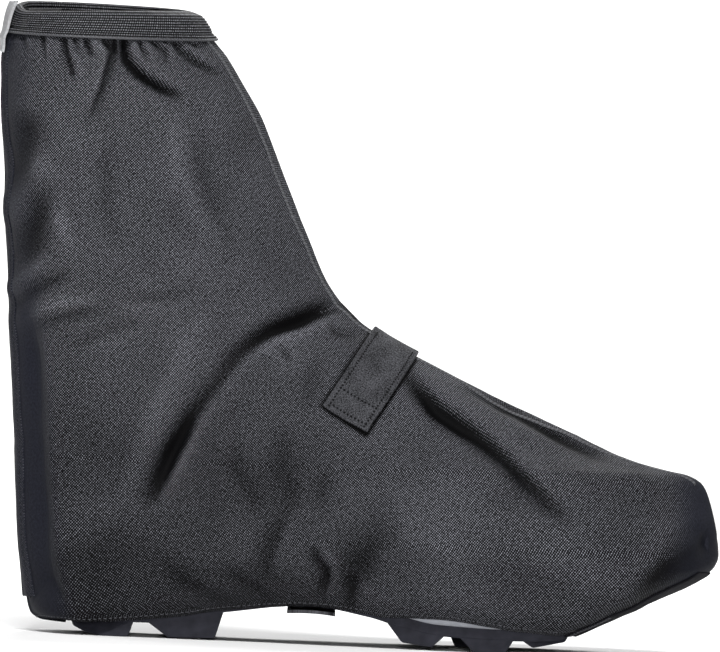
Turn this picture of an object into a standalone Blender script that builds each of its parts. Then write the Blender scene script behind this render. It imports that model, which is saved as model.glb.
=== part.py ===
"""Cycling rain gaiter for a right shoe, with the lugged riding sole that carries it.

The cover is two panels of coated fabric, joined along the front ridge and closed by a
flap up the back. Elastic binding gathers its collar, a strap pulls it in over the
instep, a second strap runs under the arch, and a tough guard wraps under the toe. It
is open underneath, where the sole and its lugs come through.

Lengths are in metres. While the pieces are made, x runs forwards from the back of the
heel, y to the medial (left) side and z up from the floor. At the end everything moves
back so that the origin lies on the floor under the middle of the rear heel lug.
"""

import math
from collections import namedtuple

import bmesh
import bpy
import numpy as np

# Main sizes of the foot and the shaft
FOOT_LENGTH = 0.2975
BALL_WIDTH = 0.106
TOE_DRIFT = 0.012
INSTEP_HEIGHT = 0.132
SHAFT_RISE = 0.123
SHAFT_WIDTH = 0.080
HEM_HEIGHT = 0.0152
HEM_FADE = 0.045
RIM_TILT = 0.025

# Fabric, webbing and the gaps that sewn layers keep
FABRIC = 0.0012
CLEARANCE = 0.0003
LAYER_GAP = 0.0005

# Elastic binding round the collar
BAND_HEIGHT = 0.0116
BAND_LEAF = 0.0009
BAND_TUCK = 0.0035

# Closure flap up the back, its reflective tab and the loop patch inside the collar
FLAP_WIDTH = 0.026
FLAP_THICKNESS = 0.0012
FLAP_START = 0.012
FLAP_TOP_GAP = 0.004
TAB_LENGTH = 0.0205
TAB_THICKNESS = 0.0011
TAB_OVERLAP = 0.005
TAB_SEAM = 0.0008
TAB_TOP_GAP = 0.0002
PATCH_LENGTH = 0.024
PATCH_HEIGHT = 0.011
PATCH_THICKNESS = 0.0013

# Strap over the instep
STRAP_WIDTH = 0.022
STRAP_THICKNESS = 0.0016
STRAP_DROP = 0.038
STRAP_PLACE = 0.520
STRAP_LEAN = 31.4

# Strap under the arch
ARCH_STRAP_WIDTH = 0.0205
ARCH_STRAP_THICKNESS = 0.0014
ARCH_STRAP_PLACE = 0.418

# Guard under the toe
GUARD_THICKNESS = 0.0011
GUARD_TURN = 24.5
GUARD_RISE = 0.036

# Sole
SOLE_MARGIN = 0.0022
PLATE_THICKNESS = 0.0034
LUG_DEPTH = 0.0058
LUG_BITE = 0.0012
LUG_TAPER = 0.0012
LUG_INNER_TAPER = 0.0018
CLEAT_CHANNEL = 0.036
MIDSOLE_LIFT = 0.0030
INSOLE_THICKNESS = 0.0030
INSOLE_MARGIN = 0.0012
INSOLE_CUP = 0.0012
THINNEST_EDGE = 0.0010
TOE_ROOM = 0.0120
HEEL_ROOM = 0.0080

# How finely the cover is divided
ROUND_STEPS = 50
LEVEL_REACH = 0.0095

# The side outline. Heights are shares of the foot's, shaft's or band's own height,
# and back and front are shares of the foot's length.
Outline = namedtuple("Outline", "zone share back front")
SIDE_OUTLINE = (
    Outline("foot", 0.000, 0.067, 0.797),
    Outline("foot", 0.011, 0.030, 0.808),
    Outline("foot", 0.038, 0.014, 0.832),
    Outline("foot", 0.091, 0.008, 0.872),
    Outline("foot", 0.167, 0.005, 0.923),
    Outline("foot", 0.250, 0.001, 0.975),
    Outline("foot", 0.290, -0.001, 0.993),
    Outline("foot", 0.333, -0.003, 0.999),
    Outline("foot", 0.424, -0.006, 0.992),
    Outline("foot", 0.508, -0.009, 0.982),
    Outline("foot", 0.560, -0.011, 0.971),
    Outline("foot", 0.589, -0.012, 0.947),
    Outline("foot", 0.604, -0.012, 0.912),
    Outline("foot", 0.636, -0.013, 0.858),
    Outline("foot", 0.712, -0.016, 0.778),
    Outline("foot", 0.803, -0.019, 0.684),
    Outline("foot", 0.902, -0.023, 0.586),
    Outline("foot", 1.000, -0.027, 0.499),
    Outline("shaft", 0.082, -0.029, 0.453),
    Outline("shaft", 0.180, -0.032, 0.420),
    Outline("shaft", 0.327, -0.038, 0.391),
    Outline("shaft", 0.522, -0.043, 0.356),
    Outline("shaft", 0.718, -0.049, 0.320),
    Outline("shaft", 0.882, -0.052, 0.280),
    Outline("shaft", 0.955, -0.050, 0.260),
    Outline("shaft", 1.000, -0.047, 0.243),
    Outline("band", 0.500, -0.044, 0.231),
    Outline("band", 0.800, -0.041, 0.222),
    Outline("band", 1.000, -0.038, 0.207),
)

# How each level is filled out, seen from above. full scales its width, oval mixes the
# sole's outline (0) with the shaft's even width (1), nose and seat are how far the
# front and the back take to reach that width, as shares of the foot's length, and
# point and stern say how blunt the two ends are.
Fill = namedtuple("Fill", "zone share full oval nose point seat stern")
LEVEL_FILLS = (
    Fill("foot", 0.000, 0.905, 0.00, 0.050, 3.00, 0.060, 2.2),
    Fill("foot", 0.011, 0.945, 0.00, 0.055, 3.00, 0.070, 2.1),
    Fill("foot", 0.038, 0.978, 0.00, 0.062, 3.00, 0.080, 2.0),
    Fill("foot", 0.091, 1.000, 0.00, 0.078, 2.80, 0.086, 1.9),
    Fill("foot", 0.167, 1.000, 0.03, 0.108, 2.60, 0.086, 1.9),
    Fill("foot", 0.250, 1.000, 0.08, 0.155, 2.40, 0.084, 1.9),
    Fill("foot", 0.333, 0.995, 0.16, 0.215, 2.20, 0.082, 1.9),
    Fill("foot", 0.424, 0.975, 0.28, 0.305, 2.05, 0.080, 1.9),
    Fill("foot", 0.508, 0.955, 0.42, 0.400, 1.90, 0.080, 1.9),
    Fill("foot", 0.600, 0.945, 0.58, 0.450, 1.85, 0.080, 1.9),
    Fill("foot", 0.712, 0.945, 0.76, 0.435, 1.75, 0.080, 2.0),
    Fill("foot", 0.902, 0.960, 0.93, 0.365, 1.65, 0.082, 2.0),
    Fill("shaft", 0.082, 0.985, 1.00, 0.290, 1.60, 0.084, 2.0),
    Fill("shaft", 0.327, 1.000, 1.00, 0.240, 1.60, 0.088, 2.1),
    Fill("shaft", 0.718, 0.985, 1.00, 0.215, 1.65, 0.096, 2.2),
    Fill("shaft", 0.955, 0.930, 1.00, 0.185, 1.80, 0.105, 2.2),
    Fill("band", 0.000, 0.880, 1.00, 0.165, 1.90, 0.112, 2.1),
    Fill("band", 1.000, 0.820, 1.00, 0.140, 2.00, 0.115, 2.0),
)

# The sole's outline from above: place along the foot, then half widths to the lateral
# and medial side of the foot's curved middle line, as shares of the ball's width.
Breadth = namedtuple("Breadth", "place lateral medial")
SOLE_OUTLINE = (
    Breadth(0.00, 0.330, 0.330),
    Breadth(0.13, 0.335, 0.335),
    Breadth(0.30, 0.352, 0.318),
    Breadth(0.43, 0.412, 0.330),
    Breadth(0.57, 0.482, 0.392),
    Breadth(0.66, 0.514, 0.458),
    Breadth(0.73, 0.514, 0.486),
    Breadth(0.80, 0.488, 0.474),
    Breadth(0.87, 0.455, 0.446),
    Breadth(1.00, 0.400, 0.392),
)

# Height of the cover's lower edge along the foot, as a share of HEM_HEIGHT.
HemPoint = namedtuple("HemPoint", "place height")
HEM_LINE = (
    HemPoint(0.00, 0.210),
    HemPoint(0.08, 0.250),
    HemPoint(0.15, 0.360),
    HemPoint(0.23, 0.560),
    HemPoint(0.30, 0.790),
    HemPoint(0.415, 1.000),
    HemPoint(0.485, 0.880),
    HemPoint(0.525, 0.790),
    HemPoint(0.60, 0.780),
    HemPoint(0.69, 0.600),
    HemPoint(0.79, 0.480),
    HemPoint(1.00, 0.480),
)

# Underside of the midsole and of the tread plate between lugs, and the midsole's top,
# over the hem line's own height scale, up to where the toe ramp takes over.
SoleLine = namedtuple("SoleLine", "place joint top")
SOLE_LINES = (
    SoleLine(0.00, 0.640, 1.130),
    SoleLine(0.18, 0.660, 1.130),
    SoleLine(0.30, 1.060, 1.330),
    SoleLine(0.415, 1.330, 1.540),
    SoleLine(0.50, 1.100, 1.460),
    SoleLine(0.55, 0.840, 1.280),
    SoleLine(0.60, 0.660, 1.150),
    SoleLine(0.70, 0.600, 1.030),
    SoleLine(0.76, 0.640, 1.060),
    SoleLine(0.80, 0.760, 1.200),
)

# Lugs: where the root and the tread of each start and end along the foot, and how far
# the tread's two ends lie off the floor, as shares of the lug's depth.
Lug = namedtuple("Lug", "root_back tread_back tread_front root_front lift_back lift_front")
HEEL_LUGS = (Lug(0.181, 0.215, 0.282, 0.294, 0.08, 0.16),)
REAR_LUG = Lug(0.074, 0.118, 0.158, 0.166, 0.0, 0.0)
LATERAL_LUGS = (
    Lug(0.523, 0.549, 0.592, 0.613, 0.50, 0.24),
    Lug(0.628, 0.652, 0.697, 0.710, 0.0, 0.0),
    Lug(0.716, 0.736, 0.782, 0.787, 0.50, 0.98),
)
MEDIAL_LUGS = (
    Lug(0.542, 0.564, 0.590, 0.604, 0.30, 0.12),
    Lug(0.614, 0.626, 0.690, 0.704, 0.0, 0.0),
    Lug(0.716, 0.735, 0.780, 0.786, 0.34, 0.96),
)

COLOURS = {
    "fabric": (0.045, 0.046, 0.052),
    "webbing": (0.040, 0.041, 0.045),
    "reflective": (0.62, 0.63, 0.65),
    "loop": (0.015, 0.015, 0.017),
    "guard": (0.022, 0.022, 0.026),
    "rubber": (0.033, 0.034, 0.043),
    "foam": (0.30, 0.31, 0.34),
    "lining": (0.10, 0.10, 0.11),
}
ROUGHNESS = {
    "fabric": 0.75,
    "webbing": 0.85,
    "reflective": 0.35,
    "loop": 0.95,
    "guard": 0.6,
    "rubber": 0.5,
    "foam": 0.6,
    "lining": 0.9,
}

COLLAR_HEIGHT = INSTEP_HEIGHT + SHAFT_RISE
RIM_HEIGHT = COLLAR_HEIGHT + BAND_HEIGHT
REST_PLACE = (REAR_LUG.tread_back + REAR_LUG.tread_front) / 2 * FOOT_LENGTH
OPEN_BACK = SIDE_OUTLINE[0].back * FOOT_LENGTH
OPEN_FRONT = SIDE_OUTLINE[0].front * FOOT_LENGTH


def smooth_curve(places, values, at):
    """Reads a smooth curve through the given points, one that never overshoots them."""
    places, values = np.asarray(places, float), np.asarray(values, float)
    at = np.clip(at, places[0], places[-1])
    steps = np.diff(places)
    slopes = np.diff(values) / steps
    tangents = np.zeros(len(places))
    tangents[0], tangents[-1] = slopes[0], slopes[-1]
    same_way = slopes[:-1] * slopes[1:] > 0
    joined = 2 * slopes[:-1] * slopes[1:] / np.where(same_way, slopes[:-1] + slopes[1:], 1)
    tangents[1:-1] = np.where(same_way, joined, 0)
    i = np.clip(np.searchsorted(places, at, side="right") - 1, 0, len(steps) - 1)
    t = (at - places[i]) / steps[i]
    start = (1 + 2 * t) * (1 - t) ** 2 * values[i] + t * (1 - t) ** 2 * steps[i] * tangents[i]
    end = t**2 * (3 - 2 * t) * values[i + 1] + t**2 * (t - 1) * steps[i] * tangents[i + 1]
    return start + end


def ease(value):
    """Rises smoothly from 0 at 0 to 1 at 1."""
    value = np.clip(value, 0, 1)
    return value**2 * (3 - 2 * value)


def zone_height(zone, share):
    """Turns a table row's zone and share into a level above the hem line."""
    starts = {"foot": 0, "shaft": INSTEP_HEIGHT, "band": COLLAR_HEIGHT}
    spans = {"foot": INSTEP_HEIGHT, "shaft": SHAFT_RISE, "band": BAND_HEIGHT}
    return starts[zone] + share * spans[zone]


def read_table(table, name, level):
    """Reads one column of a table of levels at any level."""
    heights = [zone_height(row.zone, row.share) for row in table]
    return smooth_curve(heights, [getattr(row, name) for row in table], level)


def read_places(table, name, x):
    """Reads one column of a table of places along the foot at any x."""
    places = [row.place * FOOT_LENGTH for row in table]
    return smooth_curve(places, [getattr(row, name) for row in table], x)


def back_at(level):
    return read_table(SIDE_OUTLINE, "back", level) * FOOT_LENGTH


def front_at(level):
    return read_table(SIDE_OUTLINE, "front", level) * FOOT_LENGTH


def hem_height(x):
    return read_places(HEM_LINE, "height", x) * HEM_HEIGHT


def height_of(x, level):
    """Height over the floor of a level at x. Low levels follow the hem's curve."""
    return level + hem_height(x) * (1 - ease(level / HEM_FADE))


def level_of(x, height):
    """The level that lies at a height over the floor at x."""
    low, high = np.zeros_like(x * height), np.full_like(x * height, RIM_HEIGHT)
    for _ in range(40):
        middle = (low + high) / 2
        below = height_of(x, middle) < height
        low, high = np.where(below, middle, low), np.where(below, high, middle)
    return (low + high) / 2


def middle_line(x):
    """How far the foot's middle line bends to the medial side at x."""
    bend = np.clip((x / FOOT_LENGTH - 0.4) / 0.6, 0, None)
    return TOE_DRIFT * bend**2


def rounding(distance, reach, blunt):
    """Width from 0 to 1 at a distance in from an end that is full after its reach."""
    t = np.clip(distance / reach, 0, 1)
    return (1 - (1 - t) ** blunt) ** (1 / blunt)


def half_width(x, level, medial):
    """Half width of the cover's outer face, out from the middle line."""
    lateral_side = read_places(SOLE_OUTLINE, "lateral", x)
    medial_side = read_places(SOLE_OUTLINE, "medial", x)
    sole = np.where(medial, medial_side, lateral_side) * BALL_WIDTH
    oval = read_table(LEVEL_FILLS, "oval", level)
    full = read_table(LEVEL_FILLS, "full", level) * ((1 - oval) * sole + oval * SHAFT_WIDTH / 2)
    nose = rounding(
        front_at(level) - x,
        read_table(LEVEL_FILLS, "nose", level) * FOOT_LENGTH,
        read_table(LEVEL_FILLS, "point", level),
    )
    seat = rounding(
        x - back_at(level),
        read_table(LEVEL_FILLS, "seat", level) * FOOT_LENGTH,
        read_table(LEVEL_FILLS, "stern", level),
    )
    return full * nose * seat


def cover_point(around, level):
    """A point of the cover's outer face. around is 0 at the back seam, pi at the front
    ridge, and between them runs over the lateral side."""
    back, front = back_at(level), front_at(level)
    x = back + (front - back) * (1 - np.cos(around)) / 2
    medial = np.sin(around) <= 0
    half = half_width(x, level, medial)
    y = middle_line(x) + np.where(medial, half, -half)
    tilt = RIM_TILT * y * ease((level - INSTEP_HEIGHT) / SHAFT_RISE)
    return np.stack([x, y, height_of(x, level) + tilt], axis=-1)


def around_of(x, level, side):
    """The way round to a place at x. side is -1 for lateral and 1 for medial."""
    share = np.clip((x - back_at(level)) / (front_at(level) - back_at(level)), 0, 1)
    turn = np.arccos(1 - 2 * share)
    return np.where(side < 0, turn, 2 * math.pi - turn)


def cover_offset(around, level, distance):
    """A point at a distance out from the cover's outer face."""
    turn, rise = 0.012, 0.0008
    low, high = np.maximum(level - rise, 0), np.minimum(level + rise, RIM_HEIGHT)
    along = cover_point(around + turn, level) - cover_point(around - turn, level)
    up = cover_point(around, high) - cover_point(around, low)
    normal = np.cross(along, up)
    normal /= np.linalg.norm(normal, axis=-1, keepdims=True)
    return cover_point(around, level) + normal * np.asarray(distance)[..., None]


def even_levels(low, high, count):
    """Levels from low to high, evenly spaced along the back and front outlines."""
    fine = np.linspace(low, high, 2000)
    rise = np.diff(fine)
    back, front = np.diff(back_at(fine)), np.diff(front_at(fine))
    run = np.concatenate([[0], np.cumsum(np.sqrt(rise**2 + (back**2 + front**2) / 2))])
    return np.interp(np.linspace(0, run[-1], count), run, fine)


def outline_levels():
    """The side outline's own levels up to the collar, with more between far ones."""
    heights = [zone_height(row.zone, row.share) for row in SIDE_OUTLINE if row.zone != "band"]
    levels = [heights[0]]
    for low, high in zip(heights, heights[1:]):
        steps = max(1, round((high - low) / LEVEL_REACH))
        levels += list(np.linspace(low, high, steps + 1)[1:])
    return np.array(levels)


def cover_grid(levels, arounds, distance):
    """Grid of points at a distance out from the cover's outer face."""
    level, around = np.meshgrid(levels, arounds, indexing="ij")
    return cover_offset(around, level, np.full(level.shape, distance))


def material(name):
    """The finish of a group of pieces."""
    finish = bpy.data.materials.get(name) or bpy.data.materials.new(name)
    finish.use_nodes = True
    shader = finish.node_tree.nodes["Principled BSDF"]
    shader.inputs["Base Color"].default_value = (*COLOURS[name], 1)
    shader.inputs["Roughness"].default_value = ROUGHNESS[name]
    return finish


def grid_faces(rows, columns, wrap_rows, wrap_columns):
    """Four-sided faces between the points of a grid, listed row by row."""
    faces = []
    for i in range(rows if wrap_rows else rows - 1):
        for j in range(columns if wrap_columns else columns - 1):
            up, over = (i + 1) % rows, (j + 1) % columns
            faces.append((i * columns + j, i * columns + over, up * columns + over, up * columns + j))
    return faces


def add_object(name, points, faces, finish):
    """An object with its faces turned outwards."""
    mesh = bpy.data.meshes.new(name)
    mesh.from_pydata([tuple(map(float, p)) for p in points], [], faces)
    shape = bmesh.new()
    shape.from_mesh(mesh)
    bmesh.ops.recalc_face_normals(shape, faces=shape.faces)
    shape.to_mesh(mesh)
    shape.free()
    mesh.materials.append(material(finish))
    mesh.shade_smooth()
    mesh.set_sharp_from_angle(angle=math.radians(40))
    piece = bpy.data.objects.new(name, mesh)
    bpy.context.scene.collection.objects.link(piece)
    return piece


def slab(name, inner, outer, wrap, finish):
    """A closed solid between two grids of points that lie a wall's thickness apart."""
    rows, columns = inner.shape[:2]
    points = np.concatenate([inner.reshape(-1, 3), outer.reshape(-1, 3)])
    first = np.arange(rows * columns).reshape(rows, columns)
    faces = grid_faces(rows, columns, False, wrap)
    faces = [tuple(reversed(face)) for face in faces] + [
        tuple(rows * columns + i for i in face) for face in faces
    ]
    rims = [(first[0], wrap), (first[-1][::-1], wrap)]
    if not wrap:
        rims += [(first[::-1, 0], False), (first[:, -1], False)]
    for rim, closed in rims:
        count = len(rim)
        for i in range(count if closed else count - 1):
            a, b = int(rim[i]), int(rim[(i + 1) % count])
            faces.append((a, b, b + rows * columns, a + rows * columns))
    return add_object(name, points, faces, finish)


def loft(name, rings, finish):
    """A closed solid through rings of points, with a flat face over each end."""
    rows, columns = rings.shape[:2]
    faces = grid_faces(rows, columns, False, True)
    last = (rows - 1) * columns
    faces += [tuple(reversed(range(columns))), tuple(last + i for i in range(columns))]
    return add_object(name, rings.reshape(-1, 3), faces, finish)


def make_upper():
    """The fabric cover, from its hem to the edge that the binding holds."""
    levels = np.append(outline_levels(), COLLAR_HEIGHT + BAND_TUCK)
    arounds = np.arange(ROUND_STEPS) * 2 * math.pi / ROUND_STEPS
    outer = cover_grid(levels, arounds, 0)
    inner = cover_grid(levels, arounds, -FABRIC)
    return slab("upper", inner, outer, True, "fabric")


def make_collar_band():
    """Elastic binding folded over the cover's top edge, with a slot that takes it."""
    arounds = np.arange(ROUND_STEPS) * 2 * math.pi / ROUND_STEPS
    foot = COLLAR_HEIGHT
    edge = COLLAR_HEIGHT + BAND_TUCK + CLEARANCE
    face = LAYER_GAP + BAND_LEAF
    lining = -FABRIC - LAYER_GAP - BAND_LEAF
    section = (
        (foot, face),
        (COLLAR_HEIGHT + BAND_HEIGHT * 0.5, face),
        (RIM_HEIGHT - BAND_LEAF, face),
        (RIM_HEIGHT, face - BAND_LEAF),
        (RIM_HEIGHT, lining + BAND_LEAF),
        (RIM_HEIGHT - BAND_LEAF, lining),
        (foot, lining),
        (foot, lining + BAND_LEAF),
        (edge, lining + BAND_LEAF),
        (edge, face - BAND_LEAF),
        (foot, face - BAND_LEAF),
    )
    rings = np.concatenate([cover_grid([level], arounds, out) for level, out in section])
    faces = grid_faces(len(section), ROUND_STEPS, True, True)
    return add_object("collar_band", rings.reshape(-1, 3), faces, "webbing")


def run_of(points):
    """Distance along a line of points from its first one."""
    steps = np.linalg.norm(np.diff(points, axis=0), axis=1)
    return np.concatenate([[0], np.cumsum(steps)])


def back_strip(levels, width, distances, count=7):
    """Grid of points for a strip of even width up the back seam."""
    reach = np.linspace(-0.9, 0.9, 181)
    rows = []
    for level, distance in zip(levels, distances):
        line = np.full_like(reach, level)
        run = run_of(cover_point(reach, line))
        run -= run[len(run) // 2]
        arounds = np.interp(np.linspace(-width / 2, width / 2, count), run, reach)
        rows.append(cover_grid([level], arounds, distance)[0])
    return np.array(rows)


def make_back_flap():
    """Overlapping flap that closes the cover up the back."""
    levels = even_levels(FLAP_START, COLLAR_HEIGHT - FLAP_TOP_GAP, 18)
    low = np.full(len(levels), LAYER_GAP)
    inner = back_strip(levels, FLAP_WIDTH, low)
    outer = back_strip(levels, FLAP_WIDTH, low + FLAP_THICKNESS)
    return slab("back_flap", inner, outer, False, "fabric")


def make_reflective_tab():
    """Pull tab sewn on the top of the flap, outside the binding."""
    top = RIM_HEIGHT - TAB_TOP_GAP
    levels = np.linspace(top - TAB_LENGTH, top, 9)
    over_flap = LAYER_GAP + FLAP_THICKNESS + CLEARANCE
    over_band = LAYER_GAP + BAND_LEAF + 2 * CLEARANCE + TAB_SEAM
    blend = ease((levels - levels[0] - TAB_OVERLAP / 2) / TAB_OVERLAP)
    low = over_flap + (over_band - over_flap) * blend
    inner = back_strip(levels, FLAP_WIDTH, low)
    outer = back_strip(levels, FLAP_WIDTH, low + TAB_THICKNESS)
    return slab("reflective_tab", inner, outer, False, "reflective")


def make_loop_patch():
    """Fluffy loop patch inside the collar, on the medial side of the closure."""
    top = RIM_HEIGHT - BAND_LEAF
    levels = np.linspace(top - PATCH_HEIGHT, top, 5)
    inside = -FABRIC - LAYER_GAP - BAND_LEAF - 2 * CLEARANCE
    near_back = 2 * math.pi - 0.30
    reach = np.linspace(near_back, math.pi, 200)
    run = run_of(cover_point(reach, np.full_like(reach, top)))
    arounds = np.interp(np.linspace(PATCH_LENGTH, 0, 9), run, reach)
    outer = cover_grid(levels, arounds, inside)
    inner = cover_grid(levels, arounds, inside - PATCH_THICKNESS)
    return slab("loop_patch", inner, outer, False, "loop")


def ridge_drop(point, down):
    """How far along down a side-view point lies from the front ridge."""
    low, high = -0.05, 0.05
    for _ in range(50):
        middle = (low + high) / 2
        x, z = point + down * middle
        low, high = (middle, high) if x > front_at(z) else (low, middle)
    return (low + high) / 2


def instep_strap_places(rows=7, steps=9):
    """Ways round and levels under the instep strap, from its lateral to its medial end."""
    lean = math.radians(STRAP_LEAN)
    along = np.array([math.cos(lean), -math.sin(lean)])
    down = np.array([-math.sin(lean), -math.cos(lean)])
    x = STRAP_PLACE * FOOT_LENGTH
    levels = np.linspace(INSTEP_HEIGHT / 2, RIM_HEIGHT, 4000)
    middle = np.array([x, levels[np.argmin(np.abs(front_at(levels) - x))]])
    reach = np.linspace(-1, 1, 2 * steps + 1)
    lines = []
    for width in np.linspace(-STRAP_WIDTH / 2, STRAP_WIDTH / 2, rows):
        start = middle + along * width
        start = start + down * ridge_drop(start, down)
        x, level = (start + np.outer(STRAP_DROP * reach**2, down)).T
        lines.append((around_of(x, level, reach), level))
    return np.array(lines).transpose(1, 0, 2)


def make_instep_strap():
    """Fabric strap that pulls the cover in over the instep."""
    arounds, levels = instep_strap_places()
    low = np.full(levels.shape, LAYER_GAP + CLEARANCE)
    inner = cover_offset(arounds, levels, low)
    outer = cover_offset(arounds, levels, low + STRAP_THICKNESS)
    return slab("instep_strap", inner, outer, False, "webbing")


def make_arch_strap():
    """Strap that runs under the arch, just below the hem on both sides."""
    middle = ARCH_STRAP_PLACE * FOOT_LENGTH
    places = np.linspace(middle - ARCH_STRAP_WIDTH / 2, middle + ARCH_STRAP_WIDTH / 2, 7)
    rows = []
    for x in places:
        x = np.array(x)
        lateral = middle_line(x) - half_width(x, np.array(0.0), False)
        medial = middle_line(x) + half_width(x, np.array(0.0), True)
        across = np.linspace(lateral, medial, 9)
        rows.append(np.stack([np.full(9, x), across, np.full(9, hem_height(x))], axis=-1))
    top = np.array(rows) - np.array([0, 0, CLEARANCE])
    bottom = top - np.array([0, 0, ARCH_STRAP_THICKNESS])
    return slab("arch_strap", bottom, top, False, "webbing")


def make_toe_guard():
    """Tough guard that wraps under the toe, from the hem's front edge to the tip."""
    half_turn = math.radians(GUARD_TURN)
    levels = even_levels(0, GUARD_RISE, 9)
    arounds = np.linspace(math.pi - half_turn, math.pi + half_turn, 15)
    inner = cover_grid(levels, arounds, LAYER_GAP)
    outer = cover_grid(levels, arounds, LAYER_GAP + GUARD_THICKNESS)
    return slab("toe_guard", inner, outer, False, "guard")


def ramp_height(x):
    """Height of the cover's outer face under the middle of the toe."""
    levels = np.linspace(0, INSTEP_HEIGHT / 3, 400)
    return np.interp(x, front_at(levels), height_of(front_at(levels), levels))


def sole_joint(x):
    """Height of the joint between the tread plate and the midsole."""
    flat = read_places(SOLE_LINES, "joint", x) * HEM_HEIGHT
    ramp = ramp_height(x) + FABRIC + MIDSOLE_LIFT
    return np.where(x > OPEN_FRONT, np.maximum(flat, ramp), flat)


def midsole_top(x):
    flat = read_places(SOLE_LINES, "top", x) * HEM_HEIGHT
    return np.maximum(flat, sole_joint(x) + PLATE_THICKNESS)


def inside_half(x, height, medial, margin):
    """Half width that keeps a margin from the cover's inner face all round a point."""
    room = FABRIC + margin
    nearby = [
        half_width(x + step, level_of(x + step, height - drop), medial)
        for step in (-room, 0.0, room)
        for drop in (0.0, room)
    ]
    return np.maximum(np.min(nearby, axis=0) - room, THINNEST_EDGE)


def sole_places(part):
    """Places along the foot that the pieces of the sole share, closer together at the
    round ends. The opening under the cover lies between the heel and toe parts."""
    heel, toe = HEEL_ROOM, FOOT_LENGTH - TOE_ROOM
    back, front = OPEN_BACK + SOLE_MARGIN, OPEN_FRONT - 2 * SOLE_MARGIN
    under_heel = back - (back - heel) * np.sin(np.linspace(math.pi / 2, 0.3, 5))
    turn = np.linspace(0, math.pi, 23)
    opening = back + (front - back) * (0.6 * (1 - np.cos(turn)) / 2 + 0.4 * turn / math.pi)
    under_toe = front + (toe - front) * np.sin(np.linspace(0.2, math.pi / 2, 8))
    whole = np.concatenate([under_heel, opening, under_toe])
    return {"opening": opening, "whole": whole, "inner": whole[1:-1]}[part]


def opening_half(x, medial):
    """Half width of what passes through the opening under the cover."""
    half = half_width(x, np.zeros_like(x), medial) - FABRIC - SOLE_MARGIN
    return np.maximum(half, THINNEST_EDGE)


def make_midsole():
    """Foam board over the tread, from heel to toe, with sides that follow the cover."""
    rings = []
    for x in sole_places("whole"):
        x = np.array(x)
        joint, top = sole_joint(x), midsole_top(x)
        lip = hem_height(x) + FABRIC + MIDSOLE_LIFT
        lip = np.clip(lip, joint + THINNEST_EDGE, top - THINNEST_EDGE)
        ring = []
        for medial, side in ((False, -1), (True, 1)):
            wide = inside_half(x, top, medial, SOLE_MARGIN)
            bend = inside_half(x, lip, medial, SOLE_MARGIN)
            low = np.minimum(inside_half(x, joint, medial, SOLE_MARGIN), bend)
            if OPEN_BACK < x < OPEN_FRONT:
                low = np.minimum(opening_half(x, medial), bend)
            column = [(low * 0.5, joint), (low, joint), (bend, lip), (wide, top), (wide * 0.5, top)]
            points = [(x, middle_line(x) + side * half, z) for half, z in column]
            ring += points if side < 0 else points[::-1]
        rings.append(ring)
    return loft("midsole", np.array(rings, float), "foam")


def make_insole():
    """Insole with a low cupped edge, lying on the midsole."""
    rings = []
    for x in sole_places("inner"):
        x = np.array(x)
        base = midsole_top(x) + CLEARANCE
        ring = []
        for medial, side in ((False, -1), (True, 1)):
            high = base + INSOLE_THICKNESS
            wide = inside_half(x, high, medial, SOLE_MARGIN + INSOLE_MARGIN)
            wide = np.minimum(wide, inside_half(x, base, medial, SOLE_MARGIN + INSOLE_MARGIN))
            column = [(wide * 0.45, base), (wide, base), (wide, high + INSOLE_CUP)]
            column += [(wide * 0.86, high), (wide * 0.45, high)]
            points = [(x, middle_line(x) + side * half, z) for half, z in column]
            ring += points if side < 0 else points[::-1]
        rings.append(ring)
    return loft("insole", np.array(rings, float), "lining")


def tread_face(x):
    """Height of the tread plate's underside between the lugs."""
    return sole_joint(x) - CLEARANCE - PLATE_THICKNESS


def add_block(shape, corners):
    """Adds one convex block to a mesh that is being built."""
    points = [shape.verts.new(tuple(map(float, corner))) for corner in corners]
    made = bmesh.ops.convex_hull(shape, input=points)
    inside = [item for item in made["geom_interior"] if isinstance(item, bmesh.types.BMVert)]
    bmesh.ops.delete(shape, geom=inside, context="VERTS")


def add_lug(shape, lug, medial, inner_half):
    """Adds a lug that tapers down to the floor on one side of the sole."""
    side = 1 if medial else -1
    corners = []
    ends = ((lug.root_back, lug.tread_back, lug.lift_back), (lug.root_front, lug.tread_front, lug.lift_front))
    for root, tread, lift in ends:
        for place, height, taper, inner_taper in (
            (root, tread_face(np.array(root * FOOT_LENGTH)) + LUG_BITE, 0.0, 0.0),
            (tread, lift * LUG_DEPTH, LUG_TAPER, LUG_INNER_TAPER),
        ):
            x = np.array(place * FOOT_LENGTH)
            outer = opening_half(x, medial) - taper
            inner = inner_half + inner_taper
            corners += [(x, middle_line(x) + side * half, height) for half in (inner, outer)]
    add_block(shape, corners)


def add_rear_lug(shape):
    """Adds the rear heel lug, a bar right across the heel that rounds up at its back.
    Its back is a curve through rows at shares of its run and of the lug's depth."""
    lug = REAR_LUG
    round_up = lug.tread_back - lug.root_back
    rows = (
        (lug.root_back, tread_face(np.array(lug.root_back * FOOT_LENGTH)) + LUG_BITE),
        (lug.root_back + 0.09 * round_up, 0.62 * LUG_DEPTH),
        (lug.root_back + 0.50 * round_up, 0.20 * LUG_DEPTH),
        (lug.tread_back, 0.0),
        (lug.tread_front, 0.0),
        (lug.root_front, tread_face(np.array(lug.root_front * FOOT_LENGTH)) + LUG_BITE),
    )
    corners = []
    for place, height in rows:
        x = np.array(place * FOOT_LENGTH)
        for medial, side in ((False, -1), (True, 1)):
            outer = opening_half(x, medial)
            corners.append((x, side * outer, height))
    add_block(shape, corners)


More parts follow.
